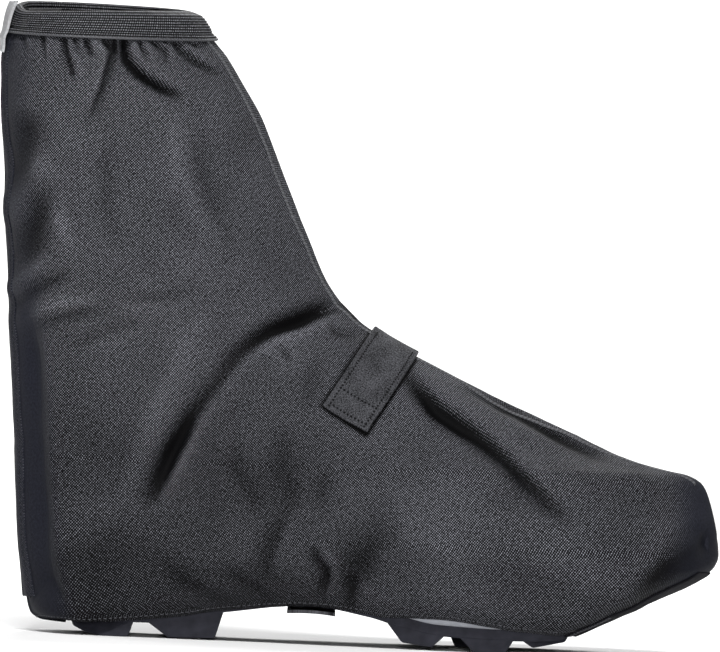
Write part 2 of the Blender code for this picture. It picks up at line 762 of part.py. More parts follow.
def make_outsole():
    """Rubber tread plate that fills the opening, with its lugs moulded on."""
    rings = []
    for x in sole_places("opening"):
        x = np.array(x)
        top, low = sole_joint(x) - CLEARANCE, tread_face(x)
        ring = []
        for medial, side in ((False, -1), (True, 1)):
            wide = opening_half(x, medial)
            column = [(wide * 0.4, low), (wide, low), (wide, top), (wide * 0.4, top)]
            points = [(x, middle_line(x) + side * half, z) for half, z in column]
            ring += points if side < 0 else points[::-1]
        rings.append(ring)
    plate = loft("outsole", np.array(rings, float), "rubber")

    shape = bmesh.new()
    add_rear_lug(shape)
    for lug in HEEL_LUGS:
        for medial in (False, True):
            add_lug(shape, lug, medial, CLEAT_CHANNEL / 6)
    for lug in LATERAL_LUGS:
        add_lug(shape, lug, False, CLEAT_CHANNEL / 2)
    for lug in MEDIAL_LUGS:
        add_lug(shape, lug, True, CLEAT_CHANNEL / 2)
    bmesh.ops.recalc_face_normals(shape, faces=shape.faces)
    mesh = bpy.data.meshes.new("lug_blocks")
    shape.to_mesh(mesh)
    shape.free()
    lugs = bpy.data.objects.new("lug_blocks", mesh)
    lugs.hide_render = True
    lugs.display_type = "WIRE"
    bpy.context.scene.collection.objects.link(lugs)
    join = plate.modifiers.new("lugs", "BOOLEAN")
    join.operation = "UNION"
    join.solver = "EXACT"
    join.object = lugs
    return plate


def main():
    for piece in list(bpy.data.objects):
        bpy.data.objects.remove(piece)
    make_upper()
    make_collar_band()
    make_back_flap()
    make_reflective_tab()
    make_loop_patch()
    make_instep_strap()
    make_arch_strap()
    make_toe_guard()
    make_midsole()
    make_insole()
    make_outsole()
    for piece in bpy.data.objects:
        piece.location.x -= REST_PLACE


main()
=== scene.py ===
"""Cycling rain gaiter for a right shoe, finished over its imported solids.

Places in the tables are shares of the foot's length: forwards from the back of the heel,
and up from the floor. Lengths are in metres.
"""
import math
from collections import namedtuple

import bmesh
import bpy
import numpy as np
from mathutils import Matrix, Vector, noise


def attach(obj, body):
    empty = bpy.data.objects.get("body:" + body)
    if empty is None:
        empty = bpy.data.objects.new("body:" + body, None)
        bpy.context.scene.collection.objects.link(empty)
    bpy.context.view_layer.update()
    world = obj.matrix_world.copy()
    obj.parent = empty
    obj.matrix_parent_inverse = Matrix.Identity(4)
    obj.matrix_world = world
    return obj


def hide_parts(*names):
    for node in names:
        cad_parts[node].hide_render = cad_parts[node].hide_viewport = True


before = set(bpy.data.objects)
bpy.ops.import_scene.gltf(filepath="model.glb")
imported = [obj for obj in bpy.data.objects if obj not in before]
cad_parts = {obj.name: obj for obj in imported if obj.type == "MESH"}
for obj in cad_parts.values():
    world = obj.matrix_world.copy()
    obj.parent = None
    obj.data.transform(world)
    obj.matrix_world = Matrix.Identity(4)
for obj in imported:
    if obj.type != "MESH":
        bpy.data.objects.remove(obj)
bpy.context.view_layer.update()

# Camera, light and floor
# The shoe is seen square from its outer side, from just above the floor, through a long
# lens, and the picture is rolled a little, toe down.
VIEW_TARGET = Vector((0.0989, 0.0, 0.1356))
VIEW_DISTANCE = 10.0
VIEW_RISE = math.radians(1.2)
VIEW_ROLL = math.radians(2.43)
VIEW_WIDTH = 0.3068
SENSOR = 36.0


def put_in_scene(name, data):
    """Makes an object of a mesh, light or lens, and puts it in the scene."""
    made = bpy.data.objects.new(name, data)
    bpy.context.scene.collection.objects.link(made)
    return made


lens = bpy.data.cameras.new("view")
lens.sensor_width = SENSOR
lens.lens = SENSOR * VIEW_DISTANCE / VIEW_WIDTH
lens.clip_end = 60
camera = put_in_scene("view", lens)
toward = Vector((0, -math.cos(VIEW_RISE), math.sin(VIEW_RISE)))
camera.location = VIEW_TARGET + toward * VIEW_DISTANCE
upright = toward.to_track_quat("Z", "Y").to_matrix().to_4x4()
camera.rotation_euler = (upright @ Matrix.Rotation(VIEW_ROLL, 4, "Z")).to_euler()
bpy.context.scene.camera = camera


def add_light(name, place, target, size, power):
    """Adds a square soft light that shines on a target."""
    lamp = bpy.data.lights.new(name, "AREA")
    lamp.size = size
    lamp.energy = power
    light = put_in_scene(name, lamp)
    light.location = place
    aim = Vector(place) - Vector(target)
    light.rotation_euler = aim.to_track_quat("Z", "Y").to_euler()


LIT_PLACE = (0.10, 0.0, 0.12)
BACKDROP_PLACE = (0.10, 2.4, 0.25)
FAR_PLACE = (0.10, 4.5, 0.10)
SIDE_LIGHTS = (-1.2, 1.4)
add_light("key", (-0.02, -1.10, 1.75), LIT_PLACE, 0.6, 40)
add_light("front", (0.06, -3.2, 0.40), LIT_PLACE, 0.6, 40)
add_light("back", (0.10, 1.05, 0.95), (0.10, 0.15, 0.05), 0.5, 10)
for x in SIDE_LIGHTS:
    add_light("backdrop", (x, 1.1, 1.2), BACKDROP_PLACE, 0.9, 27)
    add_light("far_floor", (x, 3.4, 1.2), FAR_PLACE, 0.9, 42)

sky = bpy.data.worlds.new("studio")
sky.use_nodes = True
sky_light = sky.node_tree.nodes["Background"]
sky_light.inputs["Color"].default_value = (1, 1, 1, 1)
sky_light.inputs["Strength"].default_value = 0.08
bpy.context.scene.world = sky
bpy.context.scene.view_settings.view_transform = "Standard"

# The pale floor turns up behind the shoe, so low that it hides nothing from behind.
FLOOR_REACH = 6.0
FLOOR_FLAT = 4.2
FLOOR_BEND = 1.2
FLOOR_LIFT = math.radians(42)
bend = [(-FLOOR_REACH, 0.0), (FLOOR_FLAT, 0.0)]
bend += [
    (FLOOR_FLAT + FLOOR_BEND * math.sin(turn), FLOOR_BEND * (1 - math.cos(turn)))
    for turn in np.linspace(0, FLOOR_LIFT, 13)[1:]
]
sweep = bpy.data.meshes.new("studio_floor")
sweep.from_pydata(
    [(side * FLOOR_REACH, y, z) for y, z in bend for side in (-1, 1)],
    [],
    [(2 * i, 2 * i + 1, 2 * i + 3, 2 * i + 2) for i in range(len(bend) - 1)],
)
sweep.shade_smooth()
studio_floor = put_in_scene("studio_floor", sweep)
paper = bpy.data.materials.new("studio_paper")
paper.use_nodes = True
paper_shader = paper.node_tree.nodes["Principled BSDF"]
paper_shader.inputs["Base Color"].default_value = (0.93, 0.93, 0.93, 1)
paper_shader.inputs["Roughness"].default_value = 0.9
sweep.materials.append(paper)

# Cover
# Two panels of black coated twill, sewn together along the shin and over the foot and
# closed up the back. Their lower edge is turned in and stitched. They hang over a shoe,
# so the ankle and the toe bend throw deep creases, and the elastic gathers their top.
FOOT_LENGTH = 0.2975
BALL_WIDTH = 0.106
TOE_DRIFT = 0.012
INSTEP_HEIGHT = 0.132
SHAFT_RISE = 0.123
SHAFT_WIDTH = 0.080
HEM_HEIGHT = 0.0152
HEM_FADE = 0.045
RIM_TILT = 0.025
BAND_HEIGHT = 0.0116
BAND_TUCK = 0.0035
FABRIC = 0.0012
COLLAR_HEIGHT = INSTEP_HEIGHT + SHAFT_RISE
RIM_HEIGHT = COLLAR_HEIGHT + BAND_HEIGHT
# The origin is under the heel, this far forwards from the back of it.
ORIGIN = np.array([0.138 * FOOT_LENGTH, 0, 0])

Outline = namedtuple("Outline", "zone share back front")
SIDE_OUTLINE = (
    Outline("foot", 0.000, 0.067, 0.797),
    Outline("foot", 0.011, 0.030, 0.808),
    Outline("foot", 0.038, 0.014, 0.832),
    Outline("foot", 0.091, 0.008, 0.872),
    Outline("foot", 0.167, 0.005, 0.923),
    Outline("foot", 0.250, 0.001, 0.975),
    Outline("foot", 0.290, -0.001, 0.993),
    Outline("foot", 0.333, -0.003, 0.999),
    Outline("foot", 0.424, -0.006, 0.992),
    Outline("foot", 0.508, -0.009, 0.982),
    Outline("foot", 0.560, -0.011, 0.971),
    Outline("foot", 0.589, -0.012, 0.947),
    Outline("foot", 0.604, -0.012, 0.912),
    Outline("foot", 0.636, -0.013, 0.858),
    Outline("foot", 0.712, -0.016, 0.778),
    Outline("foot", 0.803, -0.019, 0.684),
    Outline("foot", 0.902, -0.023, 0.586),
    Outline("foot", 1.000, -0.027, 0.499),
    Outline("shaft", 0.082, -0.029, 0.453),
    Outline("shaft", 0.180, -0.032, 0.420),
    Outline("shaft", 0.327, -0.038, 0.391),
    Outline("shaft", 0.522, -0.043, 0.356),
    Outline("shaft", 0.718, -0.049, 0.320),
    Outline("shaft", 0.882, -0.052, 0.280),
    Outline("shaft", 0.955, -0.050, 0.260),
    Outline("shaft", 1.000, -0.047, 0.243),
    Outline("band", 0.500, -0.044, 0.231),
    Outline("band", 0.800, -0.041, 0.222),
    Outline("band", 1.000, -0.038, 0.207),
)

Fill = namedtuple("Fill", "zone share full oval nose point seat stern")
LEVEL_FILLS = (
    Fill("foot", 0.000, 0.905, 0.00, 0.050, 3.00, 0.060, 2.2),
    Fill("foot", 0.011, 0.945, 0.00, 0.055, 3.00, 0.070, 2.1),
    Fill("foot", 0.038, 0.978, 0.00, 0.062, 3.00, 0.080, 2.0),
    Fill("foot", 0.091, 1.000, 0.00, 0.078, 2.80, 0.086, 1.9),
    Fill("foot", 0.167, 1.000, 0.03, 0.108, 2.60, 0.086, 1.9),
    Fill("foot", 0.250, 1.000, 0.08, 0.155, 2.40, 0.084, 1.9),
    Fill("foot", 0.333, 0.995, 0.16, 0.215, 2.20, 0.082, 1.9),
    Fill("foot", 0.424, 0.975, 0.28, 0.305, 2.05, 0.080, 1.9),
    Fill("foot", 0.508, 0.955, 0.42, 0.400, 1.90, 0.080, 1.9),
    Fill("foot", 0.600, 0.945, 0.58, 0.450, 1.85, 0.080, 1.9),
    Fill("foot", 0.712, 0.945, 0.76, 0.435, 1.75, 0.080, 2.0),
    Fill("foot", 0.902, 0.960, 0.93, 0.365, 1.65, 0.082, 2.0),
    Fill("shaft", 0.082, 0.985, 1.00, 0.290, 1.60, 0.084, 2.0),
    Fill("shaft", 0.327, 1.000, 1.00, 0.240, 1.60, 0.088, 2.1),
    Fill("shaft", 0.718, 0.985, 1.00, 0.215, 1.65, 0.096, 2.2),
    Fill("shaft", 0.955, 0.930, 1.00, 0.185, 1.80, 0.105, 2.2),
    Fill("band", 0.000, 0.880, 1.00, 0.165, 1.90, 0.112, 2.1),
    Fill("band", 1.000, 0.820, 1.00, 0.140, 2.00, 0.115, 2.0),
)

Breadth = namedtuple("Breadth", "place lateral medial")
SOLE_OUTLINE = (
    Breadth(0.00, 0.330, 0.330),
    Breadth(0.13, 0.335, 0.335),
    Breadth(0.30, 0.352, 0.318),
    Breadth(0.43, 0.412, 0.330),
    Breadth(0.57, 0.482, 0.392),
    Breadth(0.66, 0.514, 0.458),
    Breadth(0.73, 0.514, 0.486),
    Breadth(0.80, 0.488, 0.474),
    Breadth(0.87, 0.455, 0.446),
    Breadth(1.00, 0.400, 0.392),
)

HemPoint = namedtuple("HemPoint", "place height")
HEM_LINE = (
    HemPoint(0.00, 0.210),
    HemPoint(0.08, 0.250),
    HemPoint(0.15, 0.360),
    HemPoint(0.23, 0.560),
    HemPoint(0.30, 0.790),
    HemPoint(0.415, 1.000),
    HemPoint(0.485, 0.880),
    HemPoint(0.525, 0.790),
    HemPoint(0.60, 0.780),
    HemPoint(0.69, 0.600),
    HemPoint(0.79, 0.480),
    HemPoint(1.00, 0.480),
)

# Creases. Each runs through its points, given as place, height and strength. It is
# depth deep (a ridge where that is below zero), and left and right are the reach of its
# two sides, looking along it. lip is the height of the ridge that it throws up, on its
# left side above zero and on its right side below.
Crease = namedtuple("Crease", "depth left right lip points")
LATERAL_CREASES = (
    # Ankle bend
    Crease(0.0046, 0.0022, 0.0046, 0.0012, (
        (0.443, 0.484, 0.1), (0.409, 0.472, 0.9), (0.384, 0.459, 1.1), (0.350, 0.446, 0.9),
        (0.320, 0.427, 0.65), (0.299, 0.407, 0.48), (0.275, 0.373, 0.38), (0.252, 0.340, 0.45),
        (0.238, 0.318, 0.6), (0.225, 0.288, 0.9), (0.213, 0.264, 1.0), (0.203, 0.240, 0.8),
        (0.192, 0.215, 0.45), (0.177, 0.180, 0.0),
    )),
    Crease(-0.0009, 0.0060, 0.0040, 0.0, (
        (0.262, 0.478, 0.0), (0.233, 0.440, 0.8), (0.196, 0.352, 1.0), (0.158, 0.240, 1.0),
        (0.142, 0.170, 0.0),
    )),
    # Toe bend
    Crease(0.0038, 0.0025, 0.0048, 0.0004, (
        (0.540, 0.391, 0.3), (0.567, 0.366, 0.9), (0.590, 0.344, 1.25), (0.622, 0.325, 1.2),
        (0.649, 0.308, 0.95), (0.678, 0.285, 0.8), (0.708, 0.257, 0.75), (0.738, 0.230, 0.55),
        (0.761, 0.209, 0.35), (0.790, 0.182, 0.0),
    )),
    Crease(0.0030, 0.0020, 0.0030, 0.0008, (
        (0.612, 0.378, 0.0), (0.660, 0.362, 0.7), (0.705, 0.342, 1.0), (0.745, 0.321, 1.0),
        (0.780, 0.303, 0.8), (0.843, 0.274, 0.0),
    )),
    # Dimples beside the strap
    Crease(0.0012, 0.0014, 0.0014, 0.0004, (
        (0.427, 0.462, 0.3), (0.436, 0.448, 1.0), (0.450, 0.444, 0.7), (0.484, 0.448, 0.0),
    )),
    Crease(0.0011, 0.0015, 0.0012, 0.0003, (
        (0.354, 0.424, 0.4), (0.367, 0.414, 1.0), (0.375, 0.401, 0.2),
    )),
    Crease(0.0007, 0.0018, 0.0018, 0.0, (
        (0.323, 0.413, 0.5), (0.342, 0.403, 0.8), (0.350, 0.398, 0.0),
    )),
    Crease(0.0009, 0.0050, 0.0030, 0.0, (
        (0.411, 0.415, 0.0), (0.404, 0.375, 1.0), (0.394, 0.325, 0.0),
    )),
    # Wrinkles and hollows up the back
    Crease(-0.0014, 0.0030, 0.0035, 0.0, (
        (0.030, 0.540, 0.0), (0.010, 0.525, 0.9), (-0.012, 0.502, 1.0), (-0.036, 0.478, 0.6),
    )),
    Crease(0.0015, 0.0028, 0.0032, 0.0, (
        (0.060, 0.516, 0.0), (0.030, 0.503, 1.0), (-0.006, 0.483, 0.9), (-0.026, 0.463, 0.3),
    )),
    Crease(-0.0013, 0.0024, 0.0030, 0.0, (
        (0.110, 0.480, 0.0), (0.070, 0.476, 0.8), (0.030, 0.467, 1.0), (-0.006, 0.450, 0.7),
        (-0.026, 0.434, 0.2),
    )),
    Crease(0.0011, 0.0026, 0.0026, 0.0, (
        (0.124, 0.467, 0.0), (0.080, 0.460, 0.8), (0.040, 0.449, 1.0), (0.010, 0.436, 0.3),
    )),
    Crease(0.0025, 0.0075, 0.0055, 0.0, (
        (-0.018, 0.752, 0.0), (-0.022, 0.715, 0.9), (-0.030, 0.670, 0.9), (-0.040, 0.615, 0.0),
    )),
    Crease(-0.0015, 0.0060, 0.0050, 0.0, (
        (0.012, 0.700, 0.0), (-0.002, 0.655, 0.9), (-0.028, 0.600, 0.8), (-0.036, 0.575, 0.0),
    )),
    Crease(0.0026, 0.0070, 0.0060, 0.0, (
        (0.000, 0.660, 0.0), (-0.001, 0.605, 0.9), (-0.008, 0.560, 1.0), (-0.020, 0.515, 0.2),
    )),
    Crease(-0.0009, 0.0035, 0.0028, 0.0, (
        (0.020, 0.625, 0.0), (0.035, 0.590, 1.0), (0.050, 0.552, 0.0),
    )),
    # Soft folds down the shaft and over the instep
    Crease(-0.0010, 0.0050, 0.0040, 0.0, (
        (0.191, 0.769, 0.0), (0.202, 0.676, 0.9), (0.232, 0.610, 0.8), (0.264, 0.556, 0.0),
    )),
    Crease(0.0008, 0.0045, 0.0055, 0.0, (
        (0.225, 0.740, 0.0), (0.240, 0.665, 1.0), (0.275, 0.590, 0.7), (0.303, 0.540, 0.0),
    )),
    Crease(0.0009, 0.0030, 0.0045, 0.0, (
        (0.110, 0.725, 0.0), (0.100, 0.660, 0.9), (0.108, 0.590, 0.8), (0.130, 0.540, 0.0),
    )),
    Crease(-0.0008, 0.0040, 0.0035, 0.0, (
        (0.025, 0.604, 0.0), (0.036, 0.585, 0.9), (0.048, 0.562, 0.9), (0.050, 0.535, 0.0),
    )),
    Crease(0.0007, 0.0022, 0.0028, 0.0003, (
        (0.169, 0.452, 0.0), (0.130, 0.442, 0.9), (0.090, 0.425, 0.9), (0.050, 0.405, 0.0),
    )),
    Crease(0.0008, 0.0020, 0.0026, 0.0003, (
        (0.250, 0.505, 0.0), (0.205, 0.490, 0.8), (0.160, 0.484, 0.9), (0.120, 0.488, 0.0),
    )),
    Crease(0.0008, 0.0034, 0.0034, 0.0, (
        (0.300, 0.290, 0.0), (0.306, 0.250, 0.9), (0.330, 0.205, 0.8), (0.340, 0.170, 0.0),
    )),
    # Hem and arch
    Crease(0.0012, 0.0022, 0.0050, 0.0004, (
        (0.396, 0.220, 0.0), (0.378, 0.188, 0.5), (0.363, 0.152, 0.9), (0.355, 0.120, 0.9),
        (0.354, 0.088, 0.0),
    )),
    Crease(0.0020, 0.0016, 0.0032, 0.0006, (
        (0.416, 0.146, 0.0), (0.424, 0.126, 0.9), (0.438, 0.104, 1.0), (0.434, 0.082, 0.6),
        (0.430, 0.062, 0.0),
    )),
    Crease(0.0016, 0.0022, 0.0028, 0.0004, (
        (0.474, 0.112, 0.0), (0.474, 0.086, 1.0), (0.474, 0.050, 0.3),
    )),
    Crease(0.0009, 0.0045, 0.0045, 0.0, (
        (0.370, 0.320, 0.0), (0.366, 0.270, 0.8), (0.380, 0.225, 0.8), (0.396, 0.198, 0.0),
    )),
    Crease(0.0008, 0.0040, 0.0040, 0.0, (
        (0.437, 0.262, 0.0), (0.427, 0.225, 0.9), (0.421, 0.190, 0.0),
    )),
    Crease(0.0009, 0.0025, 0.0035, 0.0, (
        (0.200, 0.110, 0.0), (0.235, 0.086, 0.9), (0.280, 0.066, 0.6), (0.320, 0.060, 0.0),
    )),
    Crease(0.0009, 0.0025, 0.0035, 0.0, (
        (0.280, 0.118, 0.0), (0.310, 0.094, 0.8), (0.340, 0.076, 0.5), (0.365, 0.066, 0.0),
    )),
    Crease(0.0014, 0.0060, 0.0100, 0.0, (
        (0.548, 0.190, 0.0), (0.516, 0.168, 0.8), (0.490, 0.128, 1.0), (0.478, 0.086, 0.5),
        (0.476, 0.050, 0.0),
    )),
    # Toe
    Crease(0.0022, 0.0040, 0.0075, 0.0, (
        (0.880, 0.080, 0.0), (0.915, 0.122, 0.8), (0.955, 0.148, 1.0), (0.985, 0.166, 0.6),
    )),
    Crease(0.0014, 0.0016, 0.0020, 0.0004, (
        (0.972, 0.186, 0.0), (0.978, 0.172, 1.0), (0.982, 0.152, 0.3),
    )),
    Crease(0.0007, 0.0012, 0.0014, 0.0, (
        (0.954, 0.238, 0.0), (0.961, 0.246, 1.0), (0.970, 0.256, 0.0),
    )),
    # Gathers under the elastic
    Crease(0.0036, 0.0019, 0.0022, 0.0007, (
        (0.116, 0.872, 0.9), (0.117, 0.852, 1.0), (0.121, 0.828, 1.0), (0.136, 0.808, 1.0),
        (0.164, 0.790, 1.0), (0.192, 0.778, 0.6), (0.208, 0.772, 0.0),
    )),
    Crease(0.0025, 0.0024, 0.0012, -0.0010, (
        (0.084, 0.872, 0.5), (0.088, 0.852, 0.9), (0.099, 0.834, 1.0), (0.092, 0.796, 0.9),
        (0.082, 0.765, 0.7), (0.068, 0.728, 0.0),
    )),
    Crease(0.0023, 0.0014, 0.0014, 0.0009, (
        (0.030, 0.872, 0.6), (0.031, 0.850, 1.0), (0.035, 0.830, 1.0), (0.044, 0.806, 1.0),
        (0.048, 0.790, 0.0),
    )),
    Crease(0.0022, 0.0012, 0.0010, 0.0008, (
        (0.062, 0.872, 0.7), (0.063, 0.850, 1.0), (0.068, 0.836, 1.0), (0.073, 0.824, 0.0),
    )),
    Crease(0.0017, 0.0011, 0.0013, 0.0007, (
        (0.156, 0.872, 0.6), (0.160, 0.850, 1.0), (0.177, 0.836, 1.0), (0.180, 0.815, 0.0),
    )),
    Crease(0.0019, 0.0014, 0.0018, 0.0007, (
        (0.186, 0.870, 0.6), (0.192, 0.849, 1.0), (0.215, 0.828, 1.0), (0.240, 0.815, 0.8),
        (0.260, 0.808, 0.0),
    )),
    Crease(0.0020, 0.0012, 0.0010, 0.0007, (
        (0.000, 0.872, 0.6), (0.000, 0.848, 1.0), (0.002, 0.830, 0.6), (0.004, 0.815, 0.0),
    )),
    Crease(0.0011, 0.0012, 0.0010, 0.0004, (
        (-0.030, 0.870, 0.6), (-0.028, 0.848, 1.0), (-0.020, 0.826, 0.0),
    )),
    Crease(0.0021, 0.0010, 0.0009, 0.0008, (
        (0.136, 0.870, 0.7), (0.139, 0.850, 1.0), (0.146, 0.832, 0.8), (0.150, 0.820, 0.0),
    )),
    Crease(0.0013, 0.0008, 0.0009, 0.0005, (
        (0.204, 0.858, 0.6), (0.218, 0.848, 1.0), (0.236, 0.843, 0.0),
    )),
    Crease(0.0020, 0.0010, 0.0012, 0.0008, (
        (0.046, 0.872, 0.7), (0.047, 0.852, 1.0), (0.050, 0.838, 0.7), (0.052, 0.826, 0.0),
    )),
    Crease(0.0023, 0.0010, 0.0012, 0.0009, (
        (0.102, 0.872, 0.7), (0.103, 0.853, 1.0), (0.106, 0.838, 0.8), (0.108, 0.822, 0.0),
    )),
    Crease(0.0019, 0.0010, 0.0012, 0.0008, (
        (0.172, 0.870, 0.7), (0.175, 0.855, 1.0), (0.178, 0.846, 0.0),
    )),
)
MEDIAL_CREASES = (
    Crease(0.0030, 0.0050, 0.0020, -0.0010, (
        (0.443, 0.484, 0.2), (0.400, 0.470, 0.8), (0.350, 0.440, 1.0), (0.300, 0.395, 0.8),
        (0.255, 0.330, 0.6), (0.225, 0.270, 0.3), (0.205, 0.215, 0.0),
    )),
    Crease(0.0026, 0.0050, 0.0018, -0.0008, (
        (0.540, 0.391, 0.3), (0.590, 0.350, 0.9), (0.640, 0.315, 1.0), (0.690, 0.270, 0.7),
        (0.740, 0.215, 0.0),
    )),
    Crease(0.0014, 0.0030, 0.0030, 0.0, (
        (0.060, 0.520, 0.0), (0.020, 0.500, 1.0), (-0.026, 0.466, 0.4),
    )),
    Crease(0.0012, 0.0030, 0.0030, 0.0, (
        (0.110, 0.462, 0.0), (0.060, 0.448, 1.0), (0.005, 0.428, 0.3),
    )),
    Crease(0.0020, 0.0080, 0.0070, 0.0, (
        (0.014, 0.655, 0.0), (0.012, 0.605, 0.9), (0.002, 0.550, 1.0), (-0.016, 0.515, 0.2),
    )),
    Crease(0.0016, 0.0022, 0.0036, 0.0005, (
        (0.396, 0.200, 0.0), (0.380, 0.150, 0.9), (0.390, 0.100, 0.8), (0.392, 0.070, 0.0),
    )),
    Crease(0.0014, 0.0022, 0.0030, 0.0004, (
        (0.478, 0.150, 0.0), (0.470, 0.110, 0.9), (0.474, 0.070, 0.0),
    )),
    Crease(0.0012, 0.0060, 0.0090, 0.0, (
        (0.560, 0.190, 0.0), (0.520, 0.150, 0.9), (0.500, 0.090, 0.3),
    )),
    Crease(0.0024, 0.0014, 0.0030, 0.0010, (
        (0.050, 0.872, 0.8), (0.055, 0.845, 1.0), (0.075, 0.810, 1.0), (0.100, 0.785, 0.0),
    )),
    Crease(0.0020, 0.0026, 0.0016, -0.0007, (
        (0.120, 0.872, 0.7), (0.125, 0.845, 1.0), (0.112, 0.800, 0.9), (0.100, 0.755, 0.0),
    )),
    Crease(0.0018, 0.0014, 0.0020, 0.0006, (
        (0.170, 0.872, 0.7), (0.180, 0.845, 1.0), (0.205, 0.815, 0.8), (0.225, 0.800, 0.0),
    )),
    Crease(0.0014, 0.0014, 0.0018, 0.0005, (
        (0.085, 0.872, 0.7), (0.088, 0.850, 1.0), (0.094, 0.828, 0.0),
    )),
    Crease(0.0014, 0.0014, 0.0018, 0.0005, (
        (0.010, 0.872, 0.7), (0.012, 0.848, 1.0), (0.004, 0.815, 0.0),
    )),
    Crease(0.0012, 0.0014, 0.0014, 0.0004, (
        (0.205, 0.866, 0.7), (0.215, 0.850, 1.0), (0.228, 0.836, 0.0),
    )),
)

# Swells, where the fabric stands off the shoe in a broad soft form. reach is along the
# foot, height_reach up it, and rise how far it stands out at its middle.
Swell = namedtuple("Swell", "place height reach height_reach rise")
SWELLS = (
    Swell(0.300, 0.300, 0.075, 0.090, 0.0020),
    Swell(0.200, 0.120, 0.120, 0.050, 0.0016),
    Swell(0.620, 0.215, 0.130, 0.060, 0.0018),
    Swell(0.560, 0.300, 0.060, 0.050, 0.0010),
    Swell(0.120, 0.330, 0.060, 0.110, 0.0012),
    Swell(0.800, 0.190, 0.080, 0.060, 0.0010),
    Swell(0.170, 0.640, 0.050, 0.120, 0.0012),
    Swell(0.075, 0.775, 0.022, 0.030, 0.0012),
    Swell(0.155, 0.825, 0.022, 0.020, 0.0011),
)

# The strap over the instep holds the fabric down, and lets go of it within its fade.
STRAP_FADE = 0.0035
STRAP_WIDTH = 0.022
STRAP_DROP = 0.038
STRAP_PLACE = 0.520
STRAP_LEAN = math.radians(31.4)

# The heel turns back sharply at this edge, which runs from the ankle to the hem.
HEEL_EDGE = (
    (0.014, 0.470), (0.022, 0.400), (0.031, 0.310), (0.040, 0.223), (0.052, 0.120),
    (0.070, 0.030),
)
HEEL_TURN = 0.0042
HEEL_TURN_TOP = 0.49
HEEL_TURN_FADE = 0.10
HEM_TUCK = 0.0016
HEM_TUCK_HEIGHT = 0.034

# Small uneven waves of loose fabric: how high, and how many to a metre.
BROAD_WAVES = (0.00078, 38)
FINE_WAVES = (0.00038, 105)

# How far the fabric may move in at the hem, how much more above it, and how far out.
HEM_ROOM = 0.0018
MORE_ROOM = 0.0040
OUTER_ROOM = 0.0045


def smooth_curve(places, values, at):
    """Reads a smooth curve through the given points, one that never overshoots them."""
    places, values = np.asarray(places, float), np.asarray(values, float)
    at = np.clip(at, places[0], places[-1])
    steps = np.diff(places)
    slopes = np.diff(values) / steps
    tangents = np.zeros(len(places))
    tangents[0], tangents[-1] = slopes[0], slopes[-1]
    same_way = slopes[:-1] * slopes[1:] > 0
    joined = 2 * slopes[:-1] * slopes[1:] / np.where(same_way, slopes[:-1] + slopes[1:], 1)
    tangents[1:-1] = np.where(same_way, joined, 0)
    i = np.clip(np.searchsorted(places, at, side="right") - 1, 0, len(steps) - 1)
    t = (at - places[i]) / steps[i]
    start = (1 + 2 * t) * (1 - t) ** 2 * values[i] + t * (1 - t) ** 2 * steps[i] * tangents[i]
    end = t**2 * (3 - 2 * t) * values[i + 1] + t**2 * (t - 1) * steps[i] * tangents[i + 1]
    return start + end


def run_along(line):
    """Length along a line up to each of its points."""
    steps = np.linalg.norm(np.diff(line, axis=0), axis=1)
    return np.concatenate([[0], np.cumsum(steps)])


def ease(value):
    """Rises smoothly from 0 at 0 to 1 at 1."""
    value = np.clip(value, 0, 1)
    return value**2 * (3 - 2 * value)


def read_table(table, name, level):
    """Reads one column of a table of levels at any level."""
    starts = {"foot": 0, "shaft": INSTEP_HEIGHT, "band": COLLAR_HEIGHT}
    spans = {"foot": INSTEP_HEIGHT, "shaft": SHAFT_RISE, "band": BAND_HEIGHT}
    heights = [starts[row.zone] + row.share * spans[row.zone] for row in table]
    return smooth_curve(heights, [getattr(row, name) for row in table], level)


def read_places(table, name, x):
    """Reads one column of a table of places along the foot at any x."""
    places = [row.place * FOOT_LENGTH for row in table]
    return smooth_curve(places, [getattr(row, name) for row in table], x)


def back_at(level):
    return read_table(SIDE_OUTLINE, "back", level) * FOOT_LENGTH


def front_at(level):
    return read_table(SIDE_OUTLINE, "front", level) * FOOT_LENGTH


def hem_height(x):
    return read_places(HEM_LINE, "height", x) * HEM_HEIGHT


def height_of(x, level):
    """Height over the floor of a level at x. Low levels follow the hem's curve."""
    return level + hem_height(x) * (1 - ease(level / HEM_FADE))


def middle_line(x):
    """How far the foot's middle line bends to the medial side at x."""
    bend = np.clip((x / FOOT_LENGTH - 0.4) / 0.6, 0, None)
    return TOE_DRIFT * bend**2


def rounding(distance, reach, blunt):
    """Width from 0 to 1 at a distance in from an end that is full after its reach."""
    t = np.clip(distance / reach, 0, 1)
    return (1 - (1 - t) ** blunt) ** (1 / blunt)


def half_width(x, level, medial):
    """Half width of the cover's outer face, out from the middle line."""
    lateral_side = read_places(SOLE_OUTLINE, "lateral", x)
    medial_side = read_places(SOLE_OUTLINE, "medial", x)
    sole = np.where(medial, medial_side, lateral_side) * BALL_WIDTH
    oval = read_table(LEVEL_FILLS, "oval", level)
    full = read_table(LEVEL_FILLS, "full", level) * ((1 - oval) * sole + oval * SHAFT_WIDTH / 2)
    nose = rounding(
        front_at(level) - x,
        read_table(LEVEL_FILLS, "nose", level) * FOOT_LENGTH,
        read_table(LEVEL_FILLS, "point", level),
    )
    seat = rounding(
        x - back_at(level),
        read_table(LEVEL_FILLS, "seat", level) * FOOT_LENGTH,
        read_table(LEVEL_FILLS, "stern", level),
    )
    return full * nose * seat


